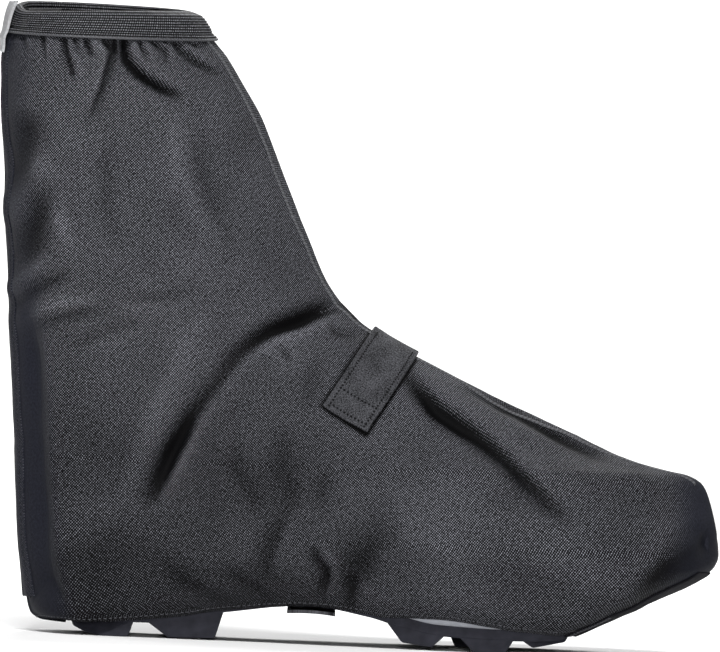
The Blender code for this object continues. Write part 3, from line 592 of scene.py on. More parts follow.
def cover_point(around, level):
    """A point of the cover's outer face. around is 0 at the back seam, pi at the front
    ridge, and between them runs over the lateral side."""
    back, front = back_at(level), front_at(level)
    x = back + (front - back) * (1 - np.cos(around)) / 2
    medial = np.sin(around) <= 0
    half = half_width(x, level, medial)
    y = middle_line(x) + np.where(medial, half, -half)
    tilt = RIM_TILT * y * ease((level - INSTEP_HEIGHT) / SHAFT_RISE)
    return np.stack([x, y, height_of(x, level) + tilt], axis=-1)


def crease_line(points):
    """Close points along a smooth line, with their strengths and directions."""
    points = np.array(points, float)
    run = run_along(points[:, :2])
    at = np.linspace(0, run[-1], int(run[-1] * 500) + 8)
    x, z, strength = (smooth_curve(run, column, at) for column in points.T)
    line = np.stack([x, z], axis=-1) * FOOT_LENGTH
    ahead = np.gradient(line, axis=0)
    return line, strength, ahead / np.linalg.norm(ahead, axis=1, keepdims=True)


def crease_relief(crease, x, z):
    """How far one crease moves the fabric out at places seen from the side."""
    line, strength, ahead = crease_line(crease.points)
    reach = 3.2 * max(crease.left, crease.right, 0.0015)
    low, high = line.min(axis=0) - reach, line.max(axis=0) + reach
    relief = np.zeros(x.shape)
    near = (x > low[0]) & (x < high[0]) & (z > low[1]) & (z < high[1])
    places = np.stack([x[near], z[near]], axis=-1)
    moved = np.zeros(len(places))
    for start in range(0, len(places), 4000):
        part = places[start : start + 4000]
        gap = part[:, None] - line[None]
        far = np.einsum("ijk,ijk->ij", gap, gap)
        nearest = np.argmin(far, axis=1)
        rows = np.arange(len(part))
        gap, way = gap[rows, nearest], ahead[nearest]
        side = way[:, 0] * gap[:, 1] - way[:, 1] * gap[:, 0]
        distance = np.sqrt(far[rows, nearest]) * np.where(side < 0, -1, 1)
        width = np.where(side < 0, crease.right, crease.left)
        trough = -crease.depth * np.exp(-((distance / width) ** 2))
        lip_width = crease.left if crease.lip > 0 else crease.right
        lip_place = math.copysign(2.1 * lip_width, crease.lip)
        ridge = abs(crease.lip) * np.exp(-(((distance - lip_place) / (1.5 * lip_width)) ** 2))
        moved[start : start + 4000] = strength[nearest] * (trough + ridge)
    relief[near] = moved
    return relief


def crumple(points):
    """Small uneven waves of fabric that isn't stretched tight."""
    moved = np.empty(points.shape[:-1]).ravel()
    for i, point in enumerate(points.reshape(-1, 3)):
        place = Vector(point)
        upright = Vector((place.x * 1.2, place.y, place.z * 0.8))
        broad = noise.noise(place * BROAD_WAVES[1])
        fine = noise.noise(upright * FINE_WAVES[1] + Vector((5, 3, 1)))
        moved[i] = BROAD_WAVES[0] * broad + FINE_WAVES[0] * fine
    return moved.reshape(points.shape[:-1])


def strap_frame():
    """Middle of the strap on the front ridge, and its ways along and down, from the side."""
    along = np.array([math.cos(STRAP_LEAN), -math.sin(STRAP_LEAN)])
    down = np.array([-math.sin(STRAP_LEAN), -math.cos(STRAP_LEAN)])
    x = STRAP_PLACE * FOOT_LENGTH
    levels = np.linspace(INSTEP_HEIGHT / 2, RIM_HEIGHT, 4000)
    return np.array([x, levels[np.argmin(np.abs(front_at(levels) - x))]]), along, down


def clear_of_strap(x, z):
    """0 under the strap and 1 away from it."""
    middle, along, down = strap_frame()
    across = np.abs((x - middle[0]) * along[0] + (z - middle[1]) * along[1]) - STRAP_WIDTH / 2
    below = (x - middle[0]) * down[0] + (z - middle[1]) * down[1] - STRAP_DROP
    return ease(np.maximum(across, below) / STRAP_FADE)


def folds_at(points):
    """How far the creases alone move the fabric out."""
    x, y, z = points[..., 0], points[..., 1], points[..., 2]
    lateral = ease(0.5 - (y - middle_line(x)) / 0.026)
    folds = np.zeros(x.shape)
    for crease in LATERAL_CREASES:
        folds += lateral * crease_relief(crease, x, z)
    for crease in MEDIAL_CREASES:
        folds += (1 - lateral) * crease_relief(crease, x, z)
    return folds


def heel_edge_at(z):
    """Place of the edge at which the heel turns back, at heights over the floor."""
    heights, places = np.array(sorted((height, place) for place, height in HEEL_EDGE)).T
    return np.interp(z / FOOT_LENGTH, heights, places) * FOOT_LENGTH


def cover_relief(points, level):
    """How far the creased fabric lies out from the cover's smooth form."""
    x, y, z = points[..., 0], points[..., 1], points[..., 2]
    relief = folds_at(points)
    for swell in SWELLS:
        along = (x / FOOT_LENGTH - swell.place) / swell.reach
        up = (z / FOOT_LENGTH - swell.height) / swell.height_reach
        relief += swell.rise * np.exp(-(along**2) - up**2)
    edge = heel_edge_at(z)
    behind = np.clip((edge - x) / (edge - back_at(level)), 0, 1)
    flat = np.minimum(behind / 0.42, 1) * ease((1 - behind) / 0.5)
    reach = ease((HEEL_TURN_TOP - z / FOOT_LENGTH) / HEEL_TURN_FADE)
    relief -= HEEL_TURN * flat * reach
    over_hem = z - hem_height(x)
    relief -= HEM_TUCK * ease(1 - over_hem / HEM_TUCK_HEIGHT)
    relief += crumple(points) * ease((COLLAR_HEIGHT - level) / 0.004)
    ridge = np.abs(y - middle_line(x)) / np.maximum(half_width(x, level, y > 0), 0.004)
    outline = ease((ridge - 0.10) / 0.5)
    relief *= 0.30 + 0.70 * outline
    free = clear_of_strap(x, z)
    relief = relief * free + np.minimum(relief, 0.0) * 0.4 * (1 - free)
    under_band = ease((COLLAR_HEIGHT + 0.0004 - level) / 0.0022)
    relief = np.where(level > COLLAR_HEIGHT - 0.003, relief * under_band, relief)
    inward = -HEM_ROOM - MORE_ROOM * ease((over_hem - 0.006) / 0.020)
    return np.clip(relief, inward, OUTER_ROOM)


def even_arounds(start, end, count):
    """Ways round from start to end, evenly spaced along the foot and the shaft."""
    fine = np.linspace(start, end, 3000)
    run = np.zeros(len(fine))
    for level in (0.15 * INSTEP_HEIGHT, 0.4 * INSTEP_HEIGHT, 0.7 * COLLAR_HEIGHT):
        length = run_along(cover_point(fine, np.full_like(fine, level)))
        run += length / length[-1]
    return np.interp(np.linspace(0, run[-1], count), run, fine)


def even_levels(low, high, count):
    """Levels from low to high, evenly spaced along the back and front outlines."""
    fine = np.linspace(low, high, 2000)
    rise = np.diff(fine)
    back, front = np.diff(back_at(fine)), np.diff(front_at(fine))
    run = np.concatenate([[0], np.cumsum(np.sqrt(rise**2 + (back**2 + front**2) / 2))])
    return np.interp(np.linspace(0, run[-1], count), run, fine)


def dressed(arounds, levels):
    """The cover's smooth points, the directions out, and how far out the fabric lies."""
    points = cover_point(arounds, levels)
    along = cover_point(arounds + 0.004, levels) - cover_point(arounds - 0.004, levels)
    low, high = np.maximum(levels - 4e-4, 0), np.minimum(levels + 4e-4, RIM_HEIGHT)
    up = cover_point(arounds, high) - cover_point(arounds, low)
    out = np.cross(along, up)
    out /= np.maximum(np.linalg.norm(out, axis=-1, keepdims=True), 1e-12)
    return points, out, cover_relief(points, levels)


def on_cover(arounds, levels, distance=0.0):
    """Points at a distance out from the creased fabric, and the ways out at them."""
    points, out, relief = dressed(arounds, levels)
    return points + out * (relief + distance)[..., None], out


def grid_faces(rows, columns, wrap_rows=False, wrap_columns=False, first=0):
    """Four-sided faces between the points of a grid, listed row by row."""
    faces = []
    for i in range(rows if wrap_rows else rows - 1):
        for j in range(columns if wrap_columns else columns - 1):
            this_row, next_row = first + i * columns, first + (i + 1) % rows * columns
            over = (j + 1) % columns
            faces.append((this_row + j, this_row + over, next_row + over, next_row + j))
    return faces


def add_piece(name, points, faces, finishes, uv=None, sharp=35, marks=()):
    """An object at the origin with its faces turned outwards. uv is a place on the flat
    cloth for each point, in metres. marks are named values for each point."""
    points = np.asarray(points, float).reshape(-1, 3) - ORIGIN
    mesh = bpy.data.meshes.new(name)
    mesh.from_pydata(points.tolist(), [], faces)
    if uv is not None:
        layer = mesh.uv_layers.new(name="cloth")
        corners = np.empty(len(mesh.loops), np.int32)
        mesh.loops.foreach_get("vertex_index", corners)
        layer.data.foreach_set("uv", np.asarray(uv, np.float32).reshape(-1, 2)[corners].ravel())
    for mark, values in dict(marks).items():
        layer = mesh.attributes.new(mark, "FLOAT", "POINT")
        layer.data.foreach_set("value", np.asarray(values, np.float32).ravel())
    shape = bmesh.new()
    shape.from_mesh(mesh)
    bmesh.ops.recalc_face_normals(shape, faces=shape.faces)
    shape.to_mesh(mesh)
    shape.free()
    for finish in finishes:
        mesh.materials.append(finish)
    mesh.shade_smooth()
    mesh.set_sharp_from_angle(angle=math.radians(sharp))
    piece = put_in_scene(name, mesh)
    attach(piece, "root")
    return piece


def wall(outer, inner):
    """Points and faces of a closed sheet between an outer and an inner grid, which share
    their columns. The inner one may have fewer rows."""
    rows, columns = outer.shape[:2]
    inner_rows = inner.shape[0]
    first = rows * columns
    points = np.concatenate([outer.reshape(-1, 3), inner.reshape(-1, 3)])
    faces = grid_faces(rows, columns)
    faces += [tuple(reversed(face)) for face in grid_faces(inner_rows, columns, first=first)]
    last_outer, last_inner = (rows - 1) * columns, first + (inner_rows - 1) * columns
    for j in range(columns - 1):
        faces.append((j + 1, j, first + j, first + j + 1))
        faces.append((last_outer + j, last_outer + j + 1, last_inner + j + 1, last_inner + j))
    for edge in (0, columns - 1):
        outer_side = [i * columns + edge for i in range(rows)]
        inner_side = [first + i * columns + edge for i in range(inner_rows)]
        share = np.linspace(0, rows - 1, inner_rows).round().astype(int)
        for k in range(inner_rows - 1):
            ring = outer_side[share[k] : share[k + 1] + 1] + [inner_side[k + 1], inner_side[k]]
            faces.append(tuple(ring if edge == 0 else reversed(ring)))
    return points, faces


def both_faces(flat):
    """The same places on the flat cloth for a sheet's outer and inner points."""
    return np.tile(flat.reshape(-1, 2), (2, 1))


def filled_in(coarse, picks, count):
    """A table with all its rows, from some that were picked."""
    columns = coarse.reshape(len(picks), -1).T
    rows = [np.interp(np.arange(count), picks, column) for column in columns]
    return np.stack(rows, axis=-1).reshape(count, *coarse.shape[1:])


def flat_pattern(grid, mirrored, rows=44, columns=56):
    """Unrolls a panel into the flat cloth that it was cut from, in metres."""
    row_picks = np.unique(np.linspace(0, grid.shape[0] - 1, rows).round().astype(int))
    column_picks = np.unique(np.linspace(0, grid.shape[1] - 1, columns).round().astype(int))
    coarse = grid[np.ix_(row_picks, column_picks)]
    count = coarse.shape[0] * coarse.shape[1]
    mesh = bpy.data.meshes.new("pattern")
    mesh.from_pydata(coarse.reshape(-1, 3).tolist(), [], grid_faces(*coarse.shape[:2]))
    mesh.uv_layers.new(name="cloth")
    paper_piece = put_in_scene("pattern", mesh)
    bpy.context.view_layer.objects.active = paper_piece
    paper_piece.select_set(True)
    bpy.ops.object.mode_set(mode="EDIT")
    bpy.ops.mesh.select_all(action="SELECT")
    bpy.ops.uv.unwrap(method="ANGLE_BASED", margin=0)
    bpy.ops.object.mode_set(mode="OBJECT")
    corners = np.empty(len(mesh.loops), np.int32)
    mesh.loops.foreach_get("vertex_index", corners)
    flat = np.empty(2 * len(mesh.loops), np.float32)
    mesh.uv_layers["cloth"].data.foreach_get("uv", flat)
    places = np.zeros((count, 2))
    places[corners] = flat.reshape(-1, 2)
    seen = coarse.reshape(-1, 3)[:, [0, 2]] * (-1 if mirrored else 1, 1)
    flat_area, true_area = 0.0, 0.0
    for face in mesh.polygons:
        a, b, c, d = (places[i] for i in face.vertices)
        flat_area += abs(np.cross(c - a, d - b)) / 2
        true_area += face.area
    bpy.data.objects.remove(paper_piece)
    places = (places - places.mean(axis=0)) * math.sqrt(true_area / flat_area)
    left, _, right = np.linalg.svd(places.T @ (seen - seen.mean(axis=0)))
    places = (places @ left @ right + seen.mean(axis=0)).reshape(*coarse.shape[:2], 2)
    by_column = filled_in(places, row_picks, grid.shape[0]).swapaxes(0, 1)
    return filled_in(by_column, column_picks, grid.shape[1]).swapaxes(0, 1)


def new_finish(name, colour, roughness):
    """A new material, its node tree and its shader."""
    finish = bpy.data.materials.new(name)
    finish.use_nodes = True
    shader = finish.node_tree.nodes["Principled BSDF"]
    shader.inputs["Base Color"].default_value = (*colour, 1)
    shader.inputs["Roughness"].default_value = roughness
    return finish, finish.node_tree, shader


def add_node(tree, kind, inputs=(), **settings):
    """Adds a node with its settings, and sets or links its named inputs."""
    made = tree.nodes.new(kind)
    for name, value in settings.items():
        setattr(made, name, value)
    for name, value in dict(inputs).items():
        if isinstance(value, bpy.types.NodeSocket):
            tree.links.new(value, made.inputs[name])
        else:
            made.inputs[name].default_value = value
    return made


def math_of(tree, operation, first, second=0.0):
    """Result of a sum on one or two values or sockets."""
    return add_node(tree, "ShaderNodeMath", {0: first, 1: second}, operation=operation).outputs[0]


def colour_between(tree, share, low, high, start=0.0):
    """A colour that goes from low to high as the share goes from start to 1."""
    ramp = add_node(tree, "ShaderNodeValToRGB", {"Fac": share})
    ramp.color_ramp.elements[0].position = start
    ramp.color_ramp.elements[0].color = (*low, 1)
    ramp.color_ramp.elements[1].color = (*high, 1)
    return ramp.outputs["Color"]


def times(tree, first, second):
    """Product of two values or sockets."""
    return math_of(tree, "MULTIPLY", first, second)


def object_place(tree):
    """The place on a piece, in metres."""
    return add_node(tree, "ShaderNodeTexCoord").outputs["Object"]


def cloth_place(tree):
    """The place on the flat cloth that a piece was cut from, in metres."""
    return add_node(tree, "ShaderNodeUVMap", uv_map="cloth").outputs["UV"]


def turned_place(tree, place, turn):
    """A place on the cloth, seen from threads that lie turned."""
    inputs = {"Vector": place, "Rotation": (0, 0, turn)}
    return add_node(tree, "ShaderNodeMapping", inputs).outputs["Vector"]


def flecks_over(tree, place, scale, detail, rough=0.5):
    """Uneven flecks, from 0 to 1. scale is about how many lie on a metre."""
    inputs = {"Vector": place, "Scale": scale, "Detail": detail, "Roughness": rough}
    return add_node(tree, "ShaderNodeTexNoise", inputs).outputs["Fac"]


def cells_over(tree, place, scale):
    """Small round cells, from 0 at the middle of each. scale is how many lie on a metre."""
    inputs = {"Vector": place, "Scale": scale}
    return add_node(tree, "ShaderNodeTexVoronoi", inputs).outputs["Distance"]


def threads_across(tree, along, way, pitch, waver):
    """Round threads that lie side by side at a pitch, as a height from 0 to 1."""
    inputs = {"Vector": along, "Scale": 2 * math.pi / 20 / pitch, "Distortion": waver}
    inputs |= {"Detail": 1.0, "Detail Scale": 2.0}
    waves = add_node(tree, "ShaderNodeTexWave", inputs, wave_type="BANDS", bands_direction=way)
    return waves.outputs["Fac"]


def paint(tree, shader, share, low, high, start=0.0):
    """Colours a finish from low to high as the share goes from start to 1."""
    colour = colour_between(tree, share, low, high, start)
    tree.links.new(colour, shader.inputs["Base Color"])


def emboss(tree, shader, height, strength, distance):
    """Gives a finish a fine relief, distance high in metres."""
    inputs = {"Height": height, "Strength": strength, "Distance": distance}
    relief = add_node(tree, "ShaderNodeBump", inputs).outputs["Normal"]
    tree.links.new(relief, shader.inputs["Normal"])


def woven(tree, pitch, lean, waver):
    """Twill on the flat cloth: its diagonal lines, cut into short floats of yarn, and
    flecks that make some floats lighter than others."""
    along = turned_place(tree, cloth_place(tree), -lean)
    lines = threads_across(tree, along, "Y", pitch, waver)
    floats = threads_across(tree, along, "X", 1.12 * pitch, waver)
    flecks = flecks_over(tree, along, 0.75 / pitch, 1.5, 0.6)
    cut = math_of(tree, "ADD", times(tree, floats, 0.65), 0.35)
    return times(tree, lines, cut), flecks


TWILL_PITCH = 0.00078
TWILL_LEAN = math.radians(50)


def cover_cloth():
    """Black coated twill: fine diagonal threads, light and dark, under a dull coating."""
    finish, tree, shader = new_finish("coated_twill", (0.045, 0.046, 0.052), 0.72)
    lines, flecks = woven(tree, TWILL_PITCH, TWILL_LEAN, 1.0)
    patches = flecks_over(tree, object_place(tree), 34.0, 3.0)
    threads = times(tree, lines, times(tree, flecks, 1.7))
    # Painted shade from two attributes: the first paints troughs, the lower foot, strap's edges
    # and hem darker and ridges lighter; the second smooths the weave over the toe tip and heel's
    # back and paints them dark as shade.
    painted_shade = add_node(tree, "ShaderNodeAttribute", attribute_name="painted_shade").outputs["Fac"]
    smoothing_and_shade = add_node(tree, "ShaderNodeAttribute", attribute_name="smoothing_and_shade").outputs["Fac"]
    faded = math_of(tree, "ADD", times(tree, patches, 0.4), 0.8)
    shade_factor = times(tree, painted_shade, 2.0)
    shade = times(tree, times(tree, threads, faded), shade_factor)
    bare = colour_between(tree, shade, (0.0004, 0.0004, 0.0007), (0.345, 0.351, 0.398), 0.26)
    # The dark colour of the smoother coat over the toe tip and the heel's back is painted shade.
    dull = times(tree, flecks, shade_factor)
    painted_shade_colour = colour_between(tree, dull, (0.002, 0.0022, 0.0040), (0.024, 0.026, 0.039))
    mix = add_node(
        tree, "ShaderNodeMix", {"Factor": smoothing_and_shade, "A": bare, "B": painted_shade_colour}, data_type="RGBA"
    )
    tree.links.new(mix.outputs["Result"], shader.inputs["Base Color"])
    uncoated = math_of(tree, "SUBTRACT", 1.0, times(tree, smoothing_and_shade, 0.85))
    emboss(tree, shader, times(tree, threads, uncoated), 0.7, 0.00025)
    shader.inputs["Specular IOR Level"].default_value = 0.10
    return finish


def seam_turn(level):
    """How far round from the front ridge the seam lies, on the lateral side."""
    return 0.21 + 0.15 * ease((level - 0.8 * INSTEP_HEIGHT) / INSTEP_HEIGHT)


# Lines on the cover, as place and height. Below the first one the cloth is painted darker
# as shade, the toe's smoother coat, painted dark as shade, starts at the second, and past the
# third the cloth is painted darker again as shade.
LOWER_EDGE = (
    (0.030, 0.100), (0.055, 0.119), (0.102, 0.139), (0.144, 0.161), (0.166, 0.148), (0.203, 0.128),
    (0.254, 0.110), (0.305, 0.103), (0.355, 0.107), (0.420, 0.104), (0.441, 0.109), (0.462, 0.130),
    (0.486, 0.148), (0.511, 0.162), (0.562, 0.149), (0.613, 0.131), (0.684, 0.141), (0.742, 0.130),
    (0.830, 0.091), (0.900, 0.080),
)
TOE_EDGE = (
    (0.915, 0.045), (0.925, 0.080), (0.936, 0.120), (0.940, 0.160), (0.941, 0.230),
    (0.936, 0.273),
)
TOE_SHADE = (
    (0.832, 0.041), (0.853, 0.060), (0.871, 0.093), (0.887, 0.122), (0.906, 0.156), (0.925, 0.185),
    (0.960, 0.200),
)
# Depth of fold that changes the cloth's painted shade by 1: troughs are painted darker and ridges
# lighter.
FOLD_SHADE = 0.0105
# Rows lie closer to each other near the collar, where the gathers are small.
CLOSER_ROWS = 1.25
twill = cover_cloth()


def cover_marks(points, level):
    """Painted shade on the cloth, 0.5 where it is plain: troughs are painted darker and ridges
    lighter, and the lower foot, heel, arch, forefoot, strap's edges, hem and toe's underside
    darker. Also how far a smoother coat, painted dark as shade, covers the heel's back and toe
    tip."""
    x, z = points[..., 0], points[..., 2]
    place, height = x / FOOT_LENGTH, z / FOOT_LENGTH
    # Painted shade and highlight: troughs darker and ridges lighter, then darker below the lower
    # line, over the heel, arch and forefoot, round the strap's edges, in the hem and under the
    # toe.
    painted_shade = 0.5 + folds_at(points) / FOLD_SHADE
    places, heights = np.array(LOWER_EDGE).T * FOOT_LENGTH
    painted_shade -= 0.07 * ease(0.5 + (smooth_curve(places, heights, x) - z) / 0.012)
    painted_shade -= 0.11 * ease((0.47 - height) / 0.30) * ease((0.60 - place) / 0.25)
    painted_shade -= 0.045 * ease((place - 0.62) / 0.25)
    painted_shade -= 0.30 * (1 - clear_of_strap(x, z)) ** 4
    painted_shade -= 0.05 * ease(1 - (z - hem_height(x)) / (0.3 * HEM_TUCK_HEIGHT))
    places, heights = np.array(TOE_SHADE).T * FOOT_LENGTH
    under_toe = (x - np.interp(z, heights, places)) * (z < heights[-1])
    painted_shade -= 0.11 * ease(0.3 + under_toe / 0.014)
    # Painted shade: the toe tip and the heel's back get a smoother coat painted dark, where they
    # turn away from the light.
    places, heights = np.array(TOE_EDGE).T * FOOT_LENGTH
    toe = ease(0.5 + (x - np.interp(z, heights, places)) / 0.018)
    heel = ease(0.4 + (heel_edge_at(z) - x) / 0.013) * ease((0.60 * FOOT_LENGTH - z) / 0.05)
    back = ease(1 - (x - back_at(level)) / 0.016)
    smoothing_and_shade = np.maximum(np.maximum(toe, heel), 0.7 * back)
    return {"painted_shade": np.clip(painted_shade, 0.12, 0.85), "smoothing_and_shade": np.clip(smoothing_and_shade, 0, 1)}


def add_panel(name, start, end, rows, columns, inner_rows, mirrored):
    """One panel of the cover. start and end say where it lies round the shoe, as shares
    of the way from the back seam to the front seam and back."""
    shares = even_arounds(start * math.pi, end * math.pi, columns)
    levels = even_levels(0, COLLAR_HEIGHT + BAND_TUCK, rows)
    row = np.linspace(0, 1, rows)
    levels = np.interp(1 - (1 - row) ** CLOSER_ROWS, row, levels)
    level, share = np.meshgrid(levels, shares, indexing="ij")
    seam = math.pi - seam_turn(level)
    before = share / math.pi * seam
    after = 2 * math.pi - (2 * math.pi - share) / math.pi * (2 * math.pi - seam)
    around = np.where(share <= math.pi, before, after)
    smooth, out, relief = dressed(around, level)
    outer = smooth + out * relief[..., None]
    picks = np.linspace(0, rows - 1, inner_rows).round().astype(int)
    deepest = np.array([
        relief[picks[max(k - 1, 0)] : picks[min(k + 1, inner_rows - 1)] + 1].min(axis=0)
        for k in range(inner_rows)
    ])
    inner = smooth[picks] + out[picks] * (deepest - FABRIC)[..., None]
    points, faces = wall(outer, inner)
    cloth = flat_pattern(smooth, mirrored)
    uv = np.concatenate([cloth.reshape(-1, 2), cloth[picks].reshape(-1, 2)])
    marks = {
        mark: np.concatenate([values.ravel(), values[picks].ravel()])
        for mark, values in cover_marks(smooth, level).items()
    }
    panel = add_piece(name, points, faces, [twill], uv, marks=marks)
    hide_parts("upper")
    return panel


add_panel("cover_lateral_panel", 0.0, 1.0, 322, 290, 16, False)
add_panel("cover_medial_panel", 1.0, 2.0, 240, 230, 16, True)

# Front seam
# The two panels are joined under a thin rolled edge, painted a shade lighter than the cloth
# as a highlight, which runs down the shin, passes under the strap and goes on over the foot to
# the toe.
SEAM_WIDTH = 0.0013
SEAM_HEIGHT = 0.0005
SEAM_STEPS = 420


def seam_finish():
    """Black bias tape, smoother than the twill, painted lighter as a highlight where light catches
    it.
    """
    finish, tree, shader = new_finish("seam_tape_highlight", (0.05, 0.05, 0.057), 0.55)
    turns = threads_across(tree, cloth_place(tree), "DIAGONAL", 0.0009, 0.4)
    paint(tree, shader, turns, (0.020, 0.0205, 0.024), (0.090, 0.092, 0.102))
    emboss(tree, shader, turns, 0.4, 0.0001)
    return finish


seam_levels = even_levels(0.56 * INSTEP_HEIGHT, COLLAR_HEIGHT, SEAM_STEPS)
seam_places = np.linspace(-1, 1, 9)
seam_rows, seam_backs = [], []
seam_middle = math.pi - seam_turn(seam_levels)
seam_line, seam_out = (part[:, 0] for part in on_cover(seam_middle[:, None], seam_levels[:, None]))
seam_ahead = np.gradient(seam_line, axis=0)
seam_ahead /= np.linalg.norm(seam_ahead, axis=1, keepdims=True)
seam_side = np.cross(seam_ahead, seam_out)
for place in seam_places:
    bulge = SEAM_HEIGHT * math.sqrt(max(1 - place**2, 0)) + 0.00008
    seam_rows.append(seam_line + seam_side * place * SEAM_WIDTH / 2 + seam_out * bulge)
    seam_backs.append(seam_line + seam_side * place * SEAM_WIDTH / 2 - seam_out * 0.0003)
seam_shell, seam_faces = wall(np.stack(seam_rows, axis=1), np.stack(seam_backs, axis=1))
seam_across = seam_places * SEAM_WIDTH / 2
seam_flat = np.stack(np.meshgrid(run_along(seam_line), seam_across, indexing="ij"), axis=-1)
seam_tape_highlight = seam_finish()
seam = add_piece("front_seam", seam_shell, seam_faces, [seam_tape_highlight], both_faces(seam_flat))
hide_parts("upper")

# Elastic band
# Black ribbed elastic, folded over the cover's top edge and sewn through. Rows of ribs
# run round it, its lower edge rolls out in a bead, and the gathers push it in and out.
BAND_LEAF = 0.0009
LAYER_GAP = 0.0005
CLEARANCE = 0.0003
BAND_RIBS = 9
RIB_HEIGHT = 0.00016
BAND_COLUMNS = 420
KNIT_ROW = 0.0013
KNIT_CELL = 0.00095
KNIT_SLANT = 0.45
RIM_DIP_BACK = 0.0026
RIM_DIP_FRONT = -0.0004
RIM_LIFT_BACK = 0.0010
BEAD_RADIUS = 0.00055
BEAD_SIDES = 10
GATHER_HEIGHT = 0.00035
GATHER_PITCH = 0.0105
SLOW_GATHER_PITCH = 0.031


def elastic_cloth():
    """Black elastic: knitted ribs round the leg with fine cross threads."""
    finish, tree, shader = new_finish("ribbed_elastic", (0.034, 0.034, 0.040), 0.7)
    cloth = cloth_place(tree)
    rows = threads_across(tree, cloth, "Y", KNIT_ROW, 0.5)
    cells = threads_across(tree, turned_place(tree, cloth, KNIT_SLANT), "X", KNIT_CELL, 0.6)
    fibres = flecks_over(tree, cloth, 900.0, 2.0)
    threads = times(tree, times(tree, rows, cells), times(tree, fibres, 1.8))
    paint(tree, shader, threads, (0.0005, 0.0005, 0.0008), (0.300, 0.304, 0.332), 0.25)
    emboss(tree, shader, threads, 0.5, 0.0002)
    shader.inputs["Specular IOR Level"].default_value = 0.15
    return finish


def band_section():
    """The band's section from its lower outer edge over the rim to its lower inner edge,
    as levels and distances out from the cover's outer face."""
    face = LAYER_GAP + BAND_LEAF
    lining = -FABRIC - LAYER_GAP - BAND_LEAF
    half = (face - lining) / 2
    centre = (face + lining) / 2
    ribs = np.linspace(0, 1, 6 * BAND_RIBS + 1)
    top = RIM_HEIGHT - half
    rise = COLLAR_HEIGHT + (top - COLLAR_HEIGHT) * ribs
    bulge = RIB_HEIGHT * np.cos(ribs * BAND_RIBS * 2 * math.pi)
    over_edge = rise - COLLAR_HEIGHT
    bead = BEAD_RADIUS * np.exp(-(((over_edge - 0.0009) / 0.0007) ** 2))
    groove = -0.0004 * np.exp(-(((over_edge - 0.0026) / 0.0006) ** 2))
    rows = [(level, face + out) for level, out in zip(rise, bulge + bead + groove)]
    for turn in np.linspace(0, math.pi, 13)[1:-1]:
        rows.append((top + half * math.sin(turn), centre + half * math.cos(turn)))
    rows += [(level, lining - out) for level, out in zip(rise[::-1], bulge[::-1])]
    rows += [
        (COLLAR_HEIGHT, lining + BAND_LEAF),
        (COLLAR_HEIGHT + BAND_TUCK + CLEARANCE, lining + BAND_LEAF),
        (COLLAR_HEIGHT + BAND_TUCK + CLEARANCE, face - BAND_LEAF),
        (COLLAR_HEIGHT, face - BAND_LEAF),
    ]
    return rows


section = band_section()
turns = even_arounds(0, 2 * math.pi, BAND_COLUMNS + 1)[:-1]
rim_line = cover_point(turns, np.full_like(turns, COLLAR_HEIGHT))
rim_run = run_along(rim_line)
slow_wave = 1.1 * np.sin(rim_run / SLOW_GATHER_PITCH * 2 * math.pi)
gather = GATHER_HEIGHT * np.sin(rim_run / GATHER_PITCH * 2 * math.pi + slow_wave)
near_back = (1 + np.cos(turns)) / 2
outer_dip = RIM_DIP_BACK * near_back**2 + RIM_DIP_FRONT * (1 - near_back**2)
outer_dip = outer_dip * ease(2 * np.sin(turns))
rim_dip = RIM_LIFT_BACK * near_back * ease(-2 * np.sin(turns)) - outer_dip
band_points, band_uv = [], []
for step, (level, out) in enumerate(section):
    levels = np.full_like(turns, min(level, RIM_HEIGHT))
    smooth = cover_point(turns, levels)
    along = cover_point(turns + 0.004, levels) - cover_point(turns - 0.004, levels)
    direction = np.cross(along, (0, 0, 1.0))
    direction /= np.linalg.norm(direction, axis=1, keepdims=True)
    wave = gather * ease(1.3 - (level - COLLAR_HEIGHT) / BAND_HEIGHT)
    ring = smooth + direction * (out + wave)[:, None]
    ring[:, 2] += rim_dip * (level - COLLAR_HEIGHT) / BAND_HEIGHT
    band_points.append(ring)
    section_run = sum(math.dist(section[k], section[k - 1]) for k in range(1, step + 1))
    band_uv.append(np.stack([rim_run, np.full_like(rim_run, section_run)], axis=-1))
elastic = elastic_cloth()
band = add_piece(
    "collar_elastic",
    np.array(band_points),
    grid_faces(len(section), len(turns), wrap_rows=True, wrap_columns=True),
    [elastic],
    np.array(band_uv),
    sharp=60,
)
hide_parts("collar_band")

bead_along = np.roll(rim_line, -1, axis=0) - np.roll(rim_line, 1, axis=0)
bead_out = np.cross(bead_along, (0, 0, 1.0))
bead_out /= np.linalg.norm(bead_out, axis=1, keepdims=True)
bead_rings = []
for turn in np.linspace(0, 2 * math.pi, BEAD_SIDES, endpoint=False):
    out = LAYER_GAP + BAND_LEAF + BEAD_RADIUS * (0.6 + math.cos(turn)) + 0.4 * gather
    rise = np.array([0, 0, BEAD_RADIUS * math.sin(turn)])
    bead_rings.append(rim_line + bead_out * out[:, None] + rise)
bead_across = np.arange(BEAD_SIDES) * 0.00035
bead_flat = np.stack(np.meshgrid(bead_across, rim_run, indexing="ij")[::-1], axis=-1)
# The bead wears the seam tape's lighter colour: painted highlight.
bead = add_piece(
    "collar_bead",
    np.array(bead_rings),
    grid_faces(BEAD_SIDES, len(turns), wrap_rows=True, wrap_columns=True),
    [seam_tape_highlight],
    bead_flat,
)
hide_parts("collar_band")

# Back flap
# A strip of the same twill closes the cover up the back. It is sewn down one side, sticks
# down the other, and has a row of topstitching along both edges.
FLAP_WIDTH = 0.026
FLAP_THICKNESS = 0.0012
FLAP_START = 0.012
FLAP_TOP_GAP = 0.0008
FLAP_FEATHER = 0.005
FLAP_STITCH_MARGIN = 0.0024
FLAP_EDGE = 0.0004
TOPSTITCH = (0.0022, 0.0015, 0.00042)


